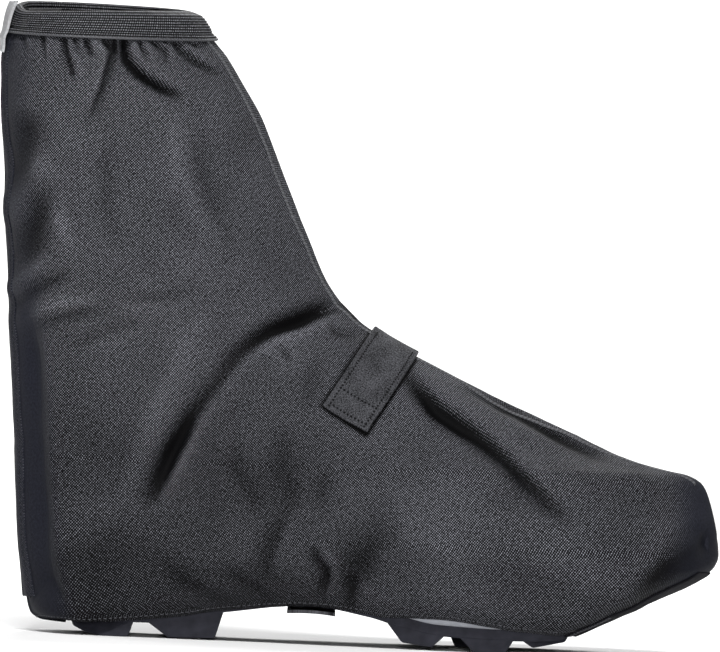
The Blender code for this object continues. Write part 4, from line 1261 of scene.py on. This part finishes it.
def back_strip(levels, places):
    """Ways round and levels of a strip up the back seam, at places across it."""
    reach = np.linspace(-0.9, 0.9, 361)
    arounds = []
    for level in levels:
        run = run_along(cover_point(reach, np.full_like(reach, level)))
        arounds.append(np.interp(places, run - run[len(run) // 2], reach))
    return np.array(arounds), np.repeat(levels[:, None], len(places), axis=1)


def rounded_wall(arounds, levels, low, thickness, edge):
    """Outer and inner grids of a layer on the cover, whose outer edges are rounded off."""
    rows, columns = levels.shape
    from_row = np.minimum(np.arange(rows), np.arange(rows)[::-1])[:, None]
    from_column = np.minimum(np.arange(columns), np.arange(columns)[::-1])[None]
    drop = np.where(np.minimum(from_row, from_column) == 0, edge, 0.0)
    points, out, relief = dressed(arounds, levels)
    outer = points + out * (relief + low + thickness - drop)[..., None]
    inner = points + out * (relief + low)[..., None]
    return outer, inner


def edge_places(length, count, edge):
    """Places across a strip, with one more close to each of its two edges."""
    middle = np.linspace(-length / 2 + edge, length / 2 - edge, count)
    return np.concatenate([[-length / 2], middle, [length / 2]])


def new_tree(name, **inputs):
    """A new tree of geometry nodes, and the sockets of its named inputs."""
    tree = bpy.data.node_groups.new(name, "GeometryNodeTree")
    face = tree.interface
    face.new_socket("Geometry", in_out="INPUT", socket_type="NodeSocketGeometry")
    for title, kind in inputs.items():
        face.new_socket(title, in_out="INPUT", socket_type="NodeSocket" + kind)
    face.new_socket("Geometry", in_out="OUTPUT", socket_type="NodeSocketGeometry")
    return tree, add_node(tree, "NodeGroupInput").outputs


def size_of(tree, x, y, z):
    """A size from its three sockets."""
    return add_node(tree, "ShaderNodeCombineXYZ", {"X": x, "Y": y, "Z": z}).outputs[0]


def turned_to(tree, way, inputs=(), **axes):
    """A turn that points a shape's axis a way."""
    inputs = {"Vector": way, **dict(inputs)}
    return add_node(tree, "FunctionNodeAlignRotationToVector", inputs, **axes).outputs[0]


def repeat_shape(tree, points, shape, turned, size, finish):
    """Ends a tree with a real copy of a shape at each point, in its finish."""
    inputs = {"Points": points, "Instance": shape, "Rotation": turned, "Scale": size}
    copies = add_node(tree, "GeometryNodeInstanceOnPoints", inputs).outputs[0]
    real = add_node(tree, "GeometryNodeRealizeInstances", {"Geometry": copies}).outputs[0]
    inputs = {"Geometry": real, "Material": finish}
    finished = add_node(tree, "GeometryNodeSetMaterial", inputs).outputs[0]
    tree.links.new(finished, add_node(tree, "NodeGroupOutput").inputs["Geometry"])


def stitch_tree():
    """Nodes that lay a row of stitches along each line of a mesh, on the side that the
    line's own attribute out points to."""
    tree, given = new_tree(
        "stitch_rows", Pitch="Float", Length="Float", Thickness="Float", Thread="Material"
    )
    line = add_node(tree, "GeometryNodeMeshToCurve", {"Mesh": given["Geometry"]}).outputs[0]
    inputs = {"Curve": line, "Length": given["Pitch"]}
    places = add_node(tree, "GeometryNodeResampleCurve", inputs, mode="LENGTH").outputs[0]
    way = add_node(tree, "GeometryNodeInputTangent").outputs[0]
    out = add_node(
        tree, "GeometryNodeInputNamedAttribute", {"Name": "out"}, data_type="FLOAT_VECTOR"
    ).outputs[0]
    turned = turned_to(tree, way, axis="X")
    turned = turned_to(tree, out, {"Rotation": turned}, axis="Z", pivot_axis="X")
    inputs = {"Segments": 6, "Rings": 5, "Radius": 0.5}
    ball = add_node(tree, "GeometryNodeMeshUVSphere", inputs).outputs[0]
    size = size_of(tree, given["Length"], given["Thickness"], given["Thickness"])
    repeat_shape(tree, places, ball, turned, size, given["Thread"])
    return tree


def plain_mesh(holder, name, tree, values):
    """Runs a tree of nodes on a holder object, and keeps its result as a plain piece."""
    grown = holder.modifiers.new(name, "NODES")
    grown.node_group = tree
    for item in tree.interface.items_tree:
        if item.in_out == "INPUT" and item.name in values:
            grown[item.identifier] = values[item.name]
    view = bpy.context.evaluated_depsgraph_get()
    mesh = bpy.data.meshes.new_from_object(holder.evaluated_get(view), depsgraph=view)
    bpy.data.objects.remove(holder)
    mesh.name = name
    mesh.shade_smooth()
    piece = put_in_scene(name, mesh)
    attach(piece, "root")
    return piece


def add_stitches(name, rows, thread, sizes=TOPSTITCH):
    """Rows of stitches on the cover. Each row is its points and the ways out at them.
    sizes are the pitch, length and thickness of a stitch."""
    points, outs, edges = [], [], []
    for line, out in rows:
        first = sum(len(part) for part in points)
        points.append(line - ORIGIN)
        outs.append(out)
        edges += [(first + i, first + i + 1) for i in range(len(line) - 1)]
    mesh = bpy.data.meshes.new(name)
    mesh.from_pydata(np.concatenate(points).tolist(), edges, [])
    ways = mesh.attributes.new("out", "FLOAT_VECTOR", "POINT")
    ways.data.foreach_set("vector", np.concatenate(outs).astype(np.float32).ravel())
    values = dict(zip(("Pitch", "Length", "Thickness"), sizes), Thread=thread)
    return plain_mesh(put_in_scene(name, mesh), name, stitch_rows, values)


def thread_finish(name, low, high):
    """Polyester thread with a slight gloss and its twist as fine ridges."""
    finish, tree, shader = new_finish(name, high, 0.45)
    twist = flecks_over(tree, object_place(tree), 2600.0, 1.0)
    paint(tree, shader, twist, low, high)
    emboss(tree, shader, twist, 0.4, 0.0001)
    shader.inputs["Specular IOR Level"].default_value = 0.1
    return finish


stitch_rows = stitch_tree()
black_thread = thread_finish("black_thread", (0.0008, 0.0008, 0.001), (0.008, 0.008, 0.009))
grey_thread = thread_finish("grey_thread", (0.020, 0.020, 0.024), (0.110, 0.112, 0.124))
flap_levels = even_levels(FLAP_START, COLLAR_HEIGHT - FLAP_TOP_GAP, 240)
flap_places = edge_places(FLAP_WIDTH, 22, FLAP_EDGE)
flap_turns, flap_heights = back_strip(flap_levels, flap_places)
flap_body = 0.35 + 0.65 * ease((FLAP_WIDTH / 2 - np.abs(flap_places)) / FLAP_FEATHER)
flap_layers = (LAYER_GAP + FLAP_THICKNESS) * flap_body
flap_points, flap_faces = wall(*rounded_wall(flap_turns, flap_heights, 0.0, flap_layers, 0.0001))
flap_flat = np.stack([np.broadcast_to(flap_places, flap_heights.shape), flap_heights], axis=-1)
# The flap is painted a shade darker and given the dark coat, both painted shade.
flap_marks = {"painted_shade": np.full(len(flap_points), 0.45), "smoothing_and_shade": np.full(len(flap_points), 0.8)}
flap = add_piece(
    "closure_flap", flap_points, flap_faces, [twill], both_faces(flap_flat), marks=flap_marks
)
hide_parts("back_flap")

flap_rows = []
for side in (-1, 1):
    place = side * (FLAP_WIDTH / 2 - FLAP_STITCH_MARGIN)
    row = back_strip(flap_levels, np.array([place]))
    row_points, row_out = on_cover(*row, 0.6 * (LAYER_GAP + FLAP_THICKNESS))
    flap_rows.append((row_points[:, 0], row_out[:, 0]))
add_stitches("flap_topstitching", flap_rows, black_thread)

# Reflective tab
# A pull tab of light grey reflective fabric, folded over the top of the flap and sewn
# through. It laps over the elastic band.
TAB_LENGTH = 0.0205
TAB_THICKNESS = 0.0011
TAB_OVERLAP = 0.005
TAB_SEAM = 0.0008
TAB_TOP_GAP = 0.0002
TAB_RIPPLE = 0.00018
TAB_EDGE = 0.00035
TAB_ROWS = 46


def reflective_cloth():
    """Light grey reflective fabric: fine glass beads on a woven backing."""
    finish, tree, shader = new_finish("reflective_weave", (0.62, 0.63, 0.65), 0.34)
    cloth = cloth_place(tree)
    beads = cells_over(tree, cloth, 1500.0)
    weave = flecks_over(tree, cloth, 420.0, 2.0)
    shade = times(tree, math_of(tree, "ADD", beads, weave), 0.8)
    paint(tree, shader, shade, (0.26, 0.265, 0.28), (0.50, 0.505, 0.52))
    emboss(tree, shader, beads, 0.4, 0.0001)
    shader.inputs["Metallic"].default_value = 0.25
    return finish


reflective = reflective_cloth()
tab_top = RIM_HEIGHT - TAB_TOP_GAP
tab_levels = np.linspace(tab_top - TAB_LENGTH, tab_top, TAB_ROWS)
tab_places = edge_places(FLAP_WIDTH, 30, 0.0003)
tab_turns, tab_heights = back_strip(tab_levels, tab_places)
over_flap = LAYER_GAP + FLAP_THICKNESS + CLEARANCE
over_band = LAYER_GAP + BAND_LEAF + 2 * CLEARANCE + TAB_SEAM
tab_step = ease((tab_levels - tab_levels[0] - TAB_OVERLAP / 2) / TAB_OVERLAP)
tab_ripple = TAB_RIPPLE * np.outer(
    np.linspace(0, 1, TAB_ROWS), np.sin(tab_places / FLAP_WIDTH * 3 * math.pi)
)
tab_low = (over_flap + (over_band - over_flap) * tab_step)[:, None] + np.abs(tab_ripple)
tab_wall = rounded_wall(tab_turns, tab_heights, tab_low, TAB_THICKNESS, TAB_EDGE)
tab_points, tab_faces = wall(*tab_wall)
tab_flat = np.stack([np.broadcast_to(tab_places, tab_heights.shape), tab_heights], axis=-1)
tab = add_piece("pull_tab", tab_points, tab_faces, [reflective], both_faces(tab_flat))
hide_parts("reflective_tab")

# Loop patch
# A black patch of fuzzy loop tape inside the collar, beside the closure, that the flap's
# hooks grip. Its pile is short curled fibres.
PATCH_LENGTH = 0.024
PATCH_HEIGHT = 0.011
PATCH_BACKING = 0.0007
PILE_LENGTH = 0.0011
PILE_THICKNESS = 0.00009
PILE_DENSITY = 5.5e6
PILE_LEAN = 0.9
PILE_SEED = 7


def pile_tree():
    """Nodes that stand short leaning fibres on a patch."""
    tree, given = new_tree(
        "loop_pile",
        Density="Float",
        Length="Float",
        Thickness="Float",
        Seed="Int",
        Fibre="Material",
    )
    inputs = {"Mesh": given["Geometry"], "Density": given["Density"], "Seed": given["Seed"]}
    spread = add_node(tree, "GeometryNodeDistributePointsOnFaces", inputs).outputs
    inputs = {0: (-PILE_LEAN,) * 3, 1: (PILE_LEAN,) * 3, "Seed": given["Seed"]}
    lean = add_node(tree, "FunctionNodeRandomValue", inputs, data_type="FLOAT_VECTOR").outputs[0]
    inputs = {0: spread["Normal"], 1: lean}
    way = add_node(tree, "ShaderNodeVectorMath", inputs, operation="ADD").outputs[0]
    inputs = {"Vertices": 4, "Radius Top": 0.25, "Radius Bottom": 0.5, "Depth": 1.0}
    fibre = add_node(tree, "GeometryNodeMeshCone", inputs).outputs["Mesh"]
    size = size_of(tree, given["Thickness"], given["Thickness"], given["Length"])
    turned = turned_to(tree, way, axis="Z")
    repeat_shape(tree, spread["Points"], fibre, turned, size, given["Fibre"])
    return tree


def pile_finish():
    """Black nylon pile that scatters light softly."""
    finish, tree, shader = new_finish("loop_tape", (0.015, 0.015, 0.017), 0.9)
    tufts = flecks_over(tree, object_place(tree), 1300.0, 2.0)
    paint(tree, shader, tufts, (0.005, 0.005, 0.006), (0.036, 0.036, 0.041))
    shader.inputs["Sheen Weight"].default_value = 0.3
    return finish


loop_black = pile_finish()
patch_top = RIM_HEIGHT - BAND_LEAF
patch_levels = np.linspace(patch_top - PATCH_HEIGHT, patch_top, 14)
patch_inside = -FABRIC - LAYER_GAP - BAND_LEAF - 2 * CLEARANCE
patch_reach = np.linspace(2 * math.pi - 0.30, math.pi, 300)
patch_line = cover_point(patch_reach, np.full_like(patch_reach, patch_top))
patch_turns = np.interp(np.linspace(0, PATCH_LENGTH, 26), run_along(patch_line), patch_reach)
patch_height, patch_turn = np.meshgrid(patch_levels, patch_turns, indexing="ij")
patch_smooth, patch_out, _ = dressed(patch_turn, patch_height)
patch_back = patch_smooth + patch_out * patch_inside
patch_face = patch_smooth + patch_out * (patch_inside - PATCH_BACKING)
patch_points, patch_faces = wall(patch_back, patch_face)
patch = add_piece("loop_backing", patch_points, patch_faces, [loop_black])
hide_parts("loop_patch")
field = bpy.data.meshes.new("loop_pile")
field.from_pydata(
    (patch_face.reshape(-1, 3) - ORIGIN).tolist(),
    [],
    [tuple(reversed(face)) for face in grid_faces(*patch_height.shape)],
)
if field.polygons[0].normal.dot(Vector(patch_out[0, 0])) > 0:
    field.flip_normals()
pile_values = {
    "Density": PILE_DENSITY,
    "Length": PILE_LENGTH,
    "Thickness": PILE_THICKNESS,
    "Seed": PILE_SEED,
    "Fibre": loop_black,
}
plain_mesh(put_in_scene("loop_pile", field), "loop_pile", pile_tree(), pile_values)

# Instep strap
# A strap of brushed black webbing, folded double. It pulls the cover in over the instep.
# Its free end on the outer side is sewn flat with two rows across, and a row of
# topstitching runs just inside each long edge.
STRAP_THICKNESS = 0.0016
STRAP_STITCH_MARGIN = 0.0023
STRAP_STITCH = (0.00160, 0.00095, 0.00095)
STRAP_END_ROWS = (0.0022, 0.0100)
STRAP_ROW_START = 0.2
STRAP_EDGE = 0.0004


def strap_cloth():
    """Brushed webbing: a close plain weave under a short dull nap."""
    finish, tree, shader = new_finish("brushed_webbing", (0.044, 0.045, 0.051), 0.78)
    cloth = cloth_place(tree)
    nap = flecks_over(tree, cloth, 1900.0, 3.0)
    patches = flecks_over(tree, cloth, 120.0, 2.0)
    shade = math_of(tree, "ADD", times(tree, nap, 0.75), times(tree, patches, 0.25))
    paint(tree, shader, shade, (0.001, 0.001, 0.0015), (0.190, 0.193, 0.215), 0.38)
    emboss(tree, shader, nap, 0.8, 0.0003)
    shader.inputs["Specular IOR Level"].default_value = 0.15
    return finish


def around_of(x, level, side):
    """The way round to a place at x. side is -1 for lateral and 1 for medial."""
    share = np.clip((x - back_at(level)) / (front_at(level) - back_at(level)), 0, 1)
    turn = np.arccos(1 - 2 * share)
    return np.where(side < 0, turn, 2 * math.pi - turn)


def strap_lines(widths, reach):
    """Ways round and levels under the strap, at widths across it and at a reach along
    it, from -1 at its lateral end to 1 at its medial end."""
    middle, along, down = strap_frame()
    turns, heights = [], []
    for width in widths:
        low, high = -0.05, 0.05
        for _ in range(50):
            drop = (low + high) / 2
            x, z = middle + along * width + down * drop
            low, high = (drop, high) if x > front_at(z) else (low, drop)
        start = middle + along * width + down * drop
        x, level = (start + np.outer(STRAP_DROP * reach**2, down)).T
        turns.append(around_of(x, level, reach))
        heights.append(level)
    return np.array(turns).T, np.array(heights).T


webbing = strap_cloth()
strap_widths = edge_places(STRAP_WIDTH, 24, STRAP_EDGE)
strap_reach = edge_places(2.0, 119, 0.012)
strap_turns, strap_heights = strap_lines(strap_widths, strap_reach)
strap_low = LAYER_GAP + CLEARANCE
strap_wall = rounded_wall(strap_turns, strap_heights, strap_low, STRAP_THICKNESS, STRAP_EDGE)
strap_points, strap_faces = wall(*strap_wall)
strap_run = np.sign(strap_reach) * strap_reach**2 * STRAP_DROP
strap_flat = np.stack(np.meshgrid(strap_run, strap_widths, indexing="ij"), axis=-1)
strap = add_piece(
    "strap_over_instep", strap_points, strap_faces, [webbing], both_faces(strap_flat)
)
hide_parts("instep_strap")


def strap_row(widths, reach, lift):
    """Points at a lift off the strap's face, and the ways out at them."""
    points, out = on_cover(*strap_lines(widths, reach), strap_low + STRAP_THICKNESS + lift)
    return points.reshape(-1, 3), out.reshape(-1, 3)


strap_rows = []
inset = STRAP_WIDTH / 2 - STRAP_STITCH_MARGIN
for side in (-1, 1):
    for end in (-1, 1):
        reach = end * np.linspace(STRAP_ROW_START, 0.985, 90)
        strap_rows.append(strap_row(np.array([side * inset]), reach, 0))
for end in (-1, 1):
    for row in STRAP_END_ROWS:
        place = end * math.sqrt(1 - row / STRAP_DROP)
        strap_rows.append(strap_row(np.linspace(-inset, inset, 30), np.array([place]), 0.0002))
add_stitches("strap_stitching", strap_rows, black_thread, STRAP_STITCH)

# Hem and arch strap
# The cover's lower edge is turned in and topstitched all round. A webbing strap runs from
# hem to hem under the arch, between the heel and the forefoot lugs.
ARCH_STRAP_WIDTH = 0.0205
ARCH_STRAP_THICKNESS = 0.0014
ARCH_STRAP_PLACE = 0.418
ARCH_STRAP_SAG = 0.0005
HEM_STITCH_LEVEL = 0.0021

hem_turns = even_arounds(0, 2 * math.pi, 700)[:, None]
hem_levels = np.full_like(hem_turns, HEM_STITCH_LEVEL)
hem_line, hem_out = (part[:, 0] for part in on_cover(hem_turns, hem_levels))
# The hem's row is in grey thread, lighter than the cloth: partly the thread's own colour and
# partly painted highlight for light catching the hem's edge.
add_stitches("hem_stitching", [(hem_line, hem_out)], grey_thread)

arch_middle = ARCH_STRAP_PLACE * FOOT_LENGTH
arch_rows = []
for x in arch_middle + edge_places(ARCH_STRAP_WIDTH, 16, 0.0004):
    lateral = middle_line(x) - half_width(x, np.array(0.0), False)
    medial = middle_line(x) + half_width(x, np.array(0.0), True)
    across = (lateral + medial) / 2 + edge_places(medial - lateral, 40, 0.0004)
    height = hem_height(x) - ARCH_STRAP_SAG * np.cos(edge_places(math.pi, 40, 0.01))
    arch_rows.append(np.stack([np.full_like(across, x), across, height], axis=-1))
arch_grid = np.array(arch_rows)
arch_low = arch_grid - np.array([0, 0, CLEARANCE + ARCH_STRAP_THICKNESS])
arch_top = arch_grid - np.array([0, 0, CLEARANCE])
arch_points, arch_faces = wall(arch_top, arch_low)
arch_flat = both_faces(arch_grid[..., :2])
arch = add_piece("strap_under_arch", arch_points, arch_faces, [webbing], arch_flat)
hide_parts("arch_strap")

# Toe guard
# Smooth coated wear fabric wraps under the toe and is sewn to the hem. A bar tack of
# thick thread holds each of its rear corners.
GUARD_THICKNESS = 0.0007
GUARD_TURN = math.radians(15)
GUARD_RISE = 0.036
TACK_HEIGHT = 0.0095
TACK_STEP = 0.012
TACK_STITCH = (0.0013, 0.00115, 0.00075)


def guard_cloth():
    """Black coated wear fabric: nearly smooth, with a fine pebble and random scuffs."""
    finish, tree, shader = new_finish("wear_fabric", (0.012, 0.012, 0.014), 0.92)
    place = object_place(tree)
    scuffs = flecks_over(tree, place, 160.0, 4.0)
    paint(tree, shader, scuffs, (0.003, 0.003, 0.0045), (0.018, 0.0175, 0.021))
    emboss(tree, shader, cells_over(tree, place, 1100.0), 0.3, 0.00012)
    shader.inputs["Specular IOR Level"].default_value = 0.12
    return finish


guard_black = guard_cloth()
guard_levels = even_levels(0, GUARD_RISE, 44)
guard_turns = math.pi + edge_places(2 * GUARD_TURN, 90, 0.003)
guard_height, guard_turn = np.meshgrid(guard_levels, guard_turns, indexing="ij")
guard_wall = rounded_wall(guard_turn, guard_height, CLEARANCE, GUARD_THICKNESS, 0.0003)
guard_points, guard_faces = wall(*guard_wall)
guard = add_piece("toe_wear_guard", guard_points, guard_faces, [guard_black])
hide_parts("toe_guard")

tack_levels = np.linspace(0.0010, TACK_HEIGHT, 16)[:, None]
tack_rows = []
for side in (-1, 1):
    for shift in (0.2, 1.2, 2.2):
        tack_turn = math.pi + side * (GUARD_TURN - shift * TACK_STEP)
        tack_turns = np.full_like(tack_levels, tack_turn)
        tack_points, tack_out = on_cover(tack_turns, tack_levels, CLEARANCE + GUARD_THICKNESS)
        tack_rows.append((tack_points[:, 0], tack_out[:, 0]))
add_stitches("guard_bar_tacks", tack_rows, grey_thread, TACK_STITCH)

# Sole
# A tread plate of black rubber fills the opening under the cover. Moulded on are a bar
# and a pair of lugs under the heel, and three pairs under the forefoot, with the cleat's
# channel between them. Over it lie a light grey board and the insole.
SOLE_MARGIN = 0.0022
PLATE_THICKNESS = 0.0034
LUG_DEPTH = 0.0058
LUG_BITE = 0.0012
LUG_TAPER = 0.0012
LUG_INNER_TAPER = 0.0018
LUG_EDGE = 0.0007
PLATE_LIP = 0.0004
PLATE_LIP_HEIGHT = 0.0014
CLEAT_CHANNEL = 0.036
OPEN_BACK = SIDE_OUTLINE[0].back * FOOT_LENGTH
OPEN_FRONT = SIDE_OUTLINE[0].front * FOOT_LENGTH

SoleLine = namedtuple("SoleLine", "place joint")
SOLE_JOINT = (
    SoleLine(0.00, 0.640),
    SoleLine(0.18, 0.660),
    SoleLine(0.30, 1.060),
    SoleLine(0.415, 1.330),
    SoleLine(0.50, 1.100),
    SoleLine(0.55, 0.840),
    SoleLine(0.60, 0.660),
    SoleLine(0.70, 0.600),
    SoleLine(0.76, 0.640),
    SoleLine(0.80, 0.760),
)
Lug = namedtuple("Lug", "root_back tread_back tread_front root_front lift_back lift_front")
HEEL_LUG = Lug(0.181, 0.215, 0.282, 0.294, 0.08, 0.16)
REAR_LUG = Lug(0.074, 0.118, 0.158, 0.166, 0.0, 0.0)
LATERAL_LUGS = (
    Lug(0.523, 0.549, 0.592, 0.613, 0.50, 0.24),
    Lug(0.628, 0.652, 0.697, 0.710, 0.0, 0.0),
    Lug(0.716, 0.736, 0.782, 0.787, 0.50, 0.98),
)
MEDIAL_LUGS = (
    Lug(0.542, 0.564, 0.590, 0.604, 0.30, 0.12),
    Lug(0.614, 0.626, 0.690, 0.704, 0.0, 0.0),
    Lug(0.716, 0.735, 0.780, 0.786, 0.34, 0.96),
)


def sole_rubber():
    """Black moulded rubber with a fine grain, scuffed a little greyer in random flecks."""
    finish, tree, shader = new_finish("tread_rubber", (0.020, 0.021, 0.028), 0.75)
    place = object_place(tree)
    scuffs = flecks_over(tree, place, 210.0, 5.0)
    paint(tree, shader, scuffs, (0.006, 0.006, 0.0095), (0.033, 0.034, 0.046))
    emboss(tree, shader, flecks_over(tree, place, 1500.0, 2.0), 0.25, 0.00012)
    shader.inputs["Specular IOR Level"].default_value = 0.2
    return finish


def sole_joint(x):
    """Height of the joint between the tread plate and the board."""
    return read_places(SOLE_JOINT, "joint", x) * HEM_HEIGHT


def tread_face(x):
    return sole_joint(x) - CLEARANCE - PLATE_THICKNESS


def lug_root(place):
    """Height at which a lug starts, a little inside the tread plate."""
    return tread_face(np.array(place * FOOT_LENGTH)) + LUG_BITE


def opening_half(x, medial):
    """Half width of what passes through the opening under the cover."""
    half = half_width(x, np.zeros_like(x), medial) - FABRIC - SOLE_MARGIN
    return np.maximum(half, 0.001)


def lug_corners(lug, medial, inner_half):
    """Corners of a lug that tapers down to the floor on one side of the sole."""
    side = 1 if medial else -1
    corners = []
    back_end = (lug.root_back, lug.tread_back, lug.lift_back)
    front_end = (lug.root_front, lug.tread_front, lug.lift_front)
    for root, tread, lift in (back_end, front_end):
        for place, height, taper, inner_taper in (
            (root, lug_root(root), 0.0, 0.0),
            (tread, lift * LUG_DEPTH, LUG_TAPER, LUG_INNER_TAPER),
        ):
            x = np.array(place * FOOT_LENGTH)
            for half in (inner_half + inner_taper, opening_half(x, medial) - taper):
                corners.append((x, middle_line(x) + side * half, height))
    return corners


def rear_lug_corners():
    """Corners of the bar across the heel, which rounds up at its back."""
    lug = REAR_LUG
    round_up = lug.tread_back - lug.root_back
    rows = (
        (lug.root_back, lug_root(lug.root_back)),
        (lug.root_back + 0.09 * round_up, 0.62 * LUG_DEPTH),
        (lug.root_back + 0.50 * round_up, 0.20 * LUG_DEPTH),
        (lug.tread_back, 0.0),
        (lug.tread_front, 0.0),
        (lug.root_front, lug_root(lug.root_front)),
    )
    corners = []
    for place, height in rows:
        x = np.array(place * FOOT_LENGTH)
        corners += [(x, side * opening_half(x, side > 0), height) for side in (-1, 1)]
    return corners


def moulded(shape):
    """Points and faces of a shape with small rounded edges, as rubber leaves its mould."""
    bmesh.ops.recalc_face_normals(shape, faces=shape.faces)
    joined = [edge for edge in shape.edges if len(edge.link_faces) == 2]
    bmesh.ops.bevel(
        shape,
        geom=[edge for edge in joined if edge.calc_face_angle() > 0.35],
        offset=LUG_EDGE,
        segments=3,
        profile=0.5,
        affect="EDGES",
        clamp_overlap=True,
    )
    points = np.array([tuple(vert.co) for vert in shape.verts])
    faces = [tuple(vert.index for vert in face.verts) for face in shape.faces]
    return points, faces


rubber = sole_rubber()
sole_points, sole_faces = [], []
blocks = [rear_lug_corners()]
blocks += [lug_corners(HEEL_LUG, medial, CLEAT_CHANNEL / 6) for medial in (False, True)]
blocks += [lug_corners(lug, False, CLEAT_CHANNEL / 2) for lug in LATERAL_LUGS]
blocks += [lug_corners(lug, True, CLEAT_CHANNEL / 2) for lug in MEDIAL_LUGS]
for corners in blocks:
    shape = bmesh.new()
    corner_points = [shape.verts.new(tuple(map(float, corner))) for corner in corners]
    bmesh.ops.convex_hull(shape, input=corner_points)
    bmesh.ops.dissolve_limit(shape, angle_limit=0.02, verts=shape.verts, edges=shape.edges)
    shape.verts.index_update()
    shape.normal_update()
    block_points, block_faces = moulded(shape)
    first = sum(len(part) for part in sole_points)
    sole_points.append(block_points)
    sole_faces += [tuple(first + i for i in face) for face in block_faces]
    shape.free()
plate_rings = []
for x in np.linspace(OPEN_BACK + SOLE_MARGIN, OPEN_FRONT - 2 * SOLE_MARGIN, 90):
    x = np.array(x)
    top, low = sole_joint(x) - CLEARANCE, tread_face(x)
    ring = []
    for medial, side in ((False, -1), (True, 1)):
        wide = opening_half(x, medial)
        column = [
            (wide * 0.5, low),
            (wide - LUG_EDGE, low),
            (wide, low + LUG_EDGE),
            (wide + PLATE_LIP, top),
            (wide + PLATE_LIP, top + PLATE_LIP_HEIGHT),
            (wide + PLATE_LIP / 6, top + PLATE_LIP_HEIGHT),
            (wide + PLATE_LIP / 6, top),
            (wide * 0.5, top),
        ]
        ring_points = [(x, middle_line(x) + side * half, z) for half, z in column]
        ring += ring_points if side < 0 else ring_points[::-1]
    plate_rings.append(ring)
plate_rings = np.array(plate_rings, float)
rows, columns = plate_rings.shape[:2]
first = sum(len(part) for part in sole_points)
sole_points.append(plate_rings.reshape(-1, 3))
sole_faces += grid_faces(rows, columns, wrap_columns=True, first=first)
sole_faces += [tuple(first + i for i in reversed(range(columns)))]
sole_faces += [tuple(first + (rows - 1) * columns + i for i in range(columns))]
tread = add_piece("tread", np.concatenate(sole_points), sole_faces, [rubber], sharp=30)
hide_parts("outsole")


def board_finish():
    """Light grey moulded board, matt, with faint flow marks. Its light grey is partly its own
    colour and partly painted light, so that it shows bright in the shadow under the hem.
    """
    finish, tree, shader = new_finish("grey_board", (0.42, 0.43, 0.46), 0.5)
    marks = flecks_over(tree, object_place(tree), 300.0, 3.0)
    paint(tree, shader, marks, (0.20, 0.21, 0.24), (0.36, 0.37, 0.41))
    emboss(tree, shader, marks, 0.2, 0.0001)
    return finish


def lining_finish():
    """Dark grey brushed lining with a short nap."""
    finish, tree, shader = new_finish("brushed_lining", (0.10, 0.10, 0.11), 0.9)
    nap = flecks_over(tree, object_place(tree), 1100.0, 3.0)
    paint(tree, shader, nap, (0.050, 0.050, 0.056), (0.150, 0.150, 0.162))
    emboss(tree, shader, nap, 0.4, 0.0002)
    return finish


bpy.data.objects["midsole"].material_slots[0].material = board_finish()
bpy.data.objects["insole"].material_slots[0].material = lining_finish()
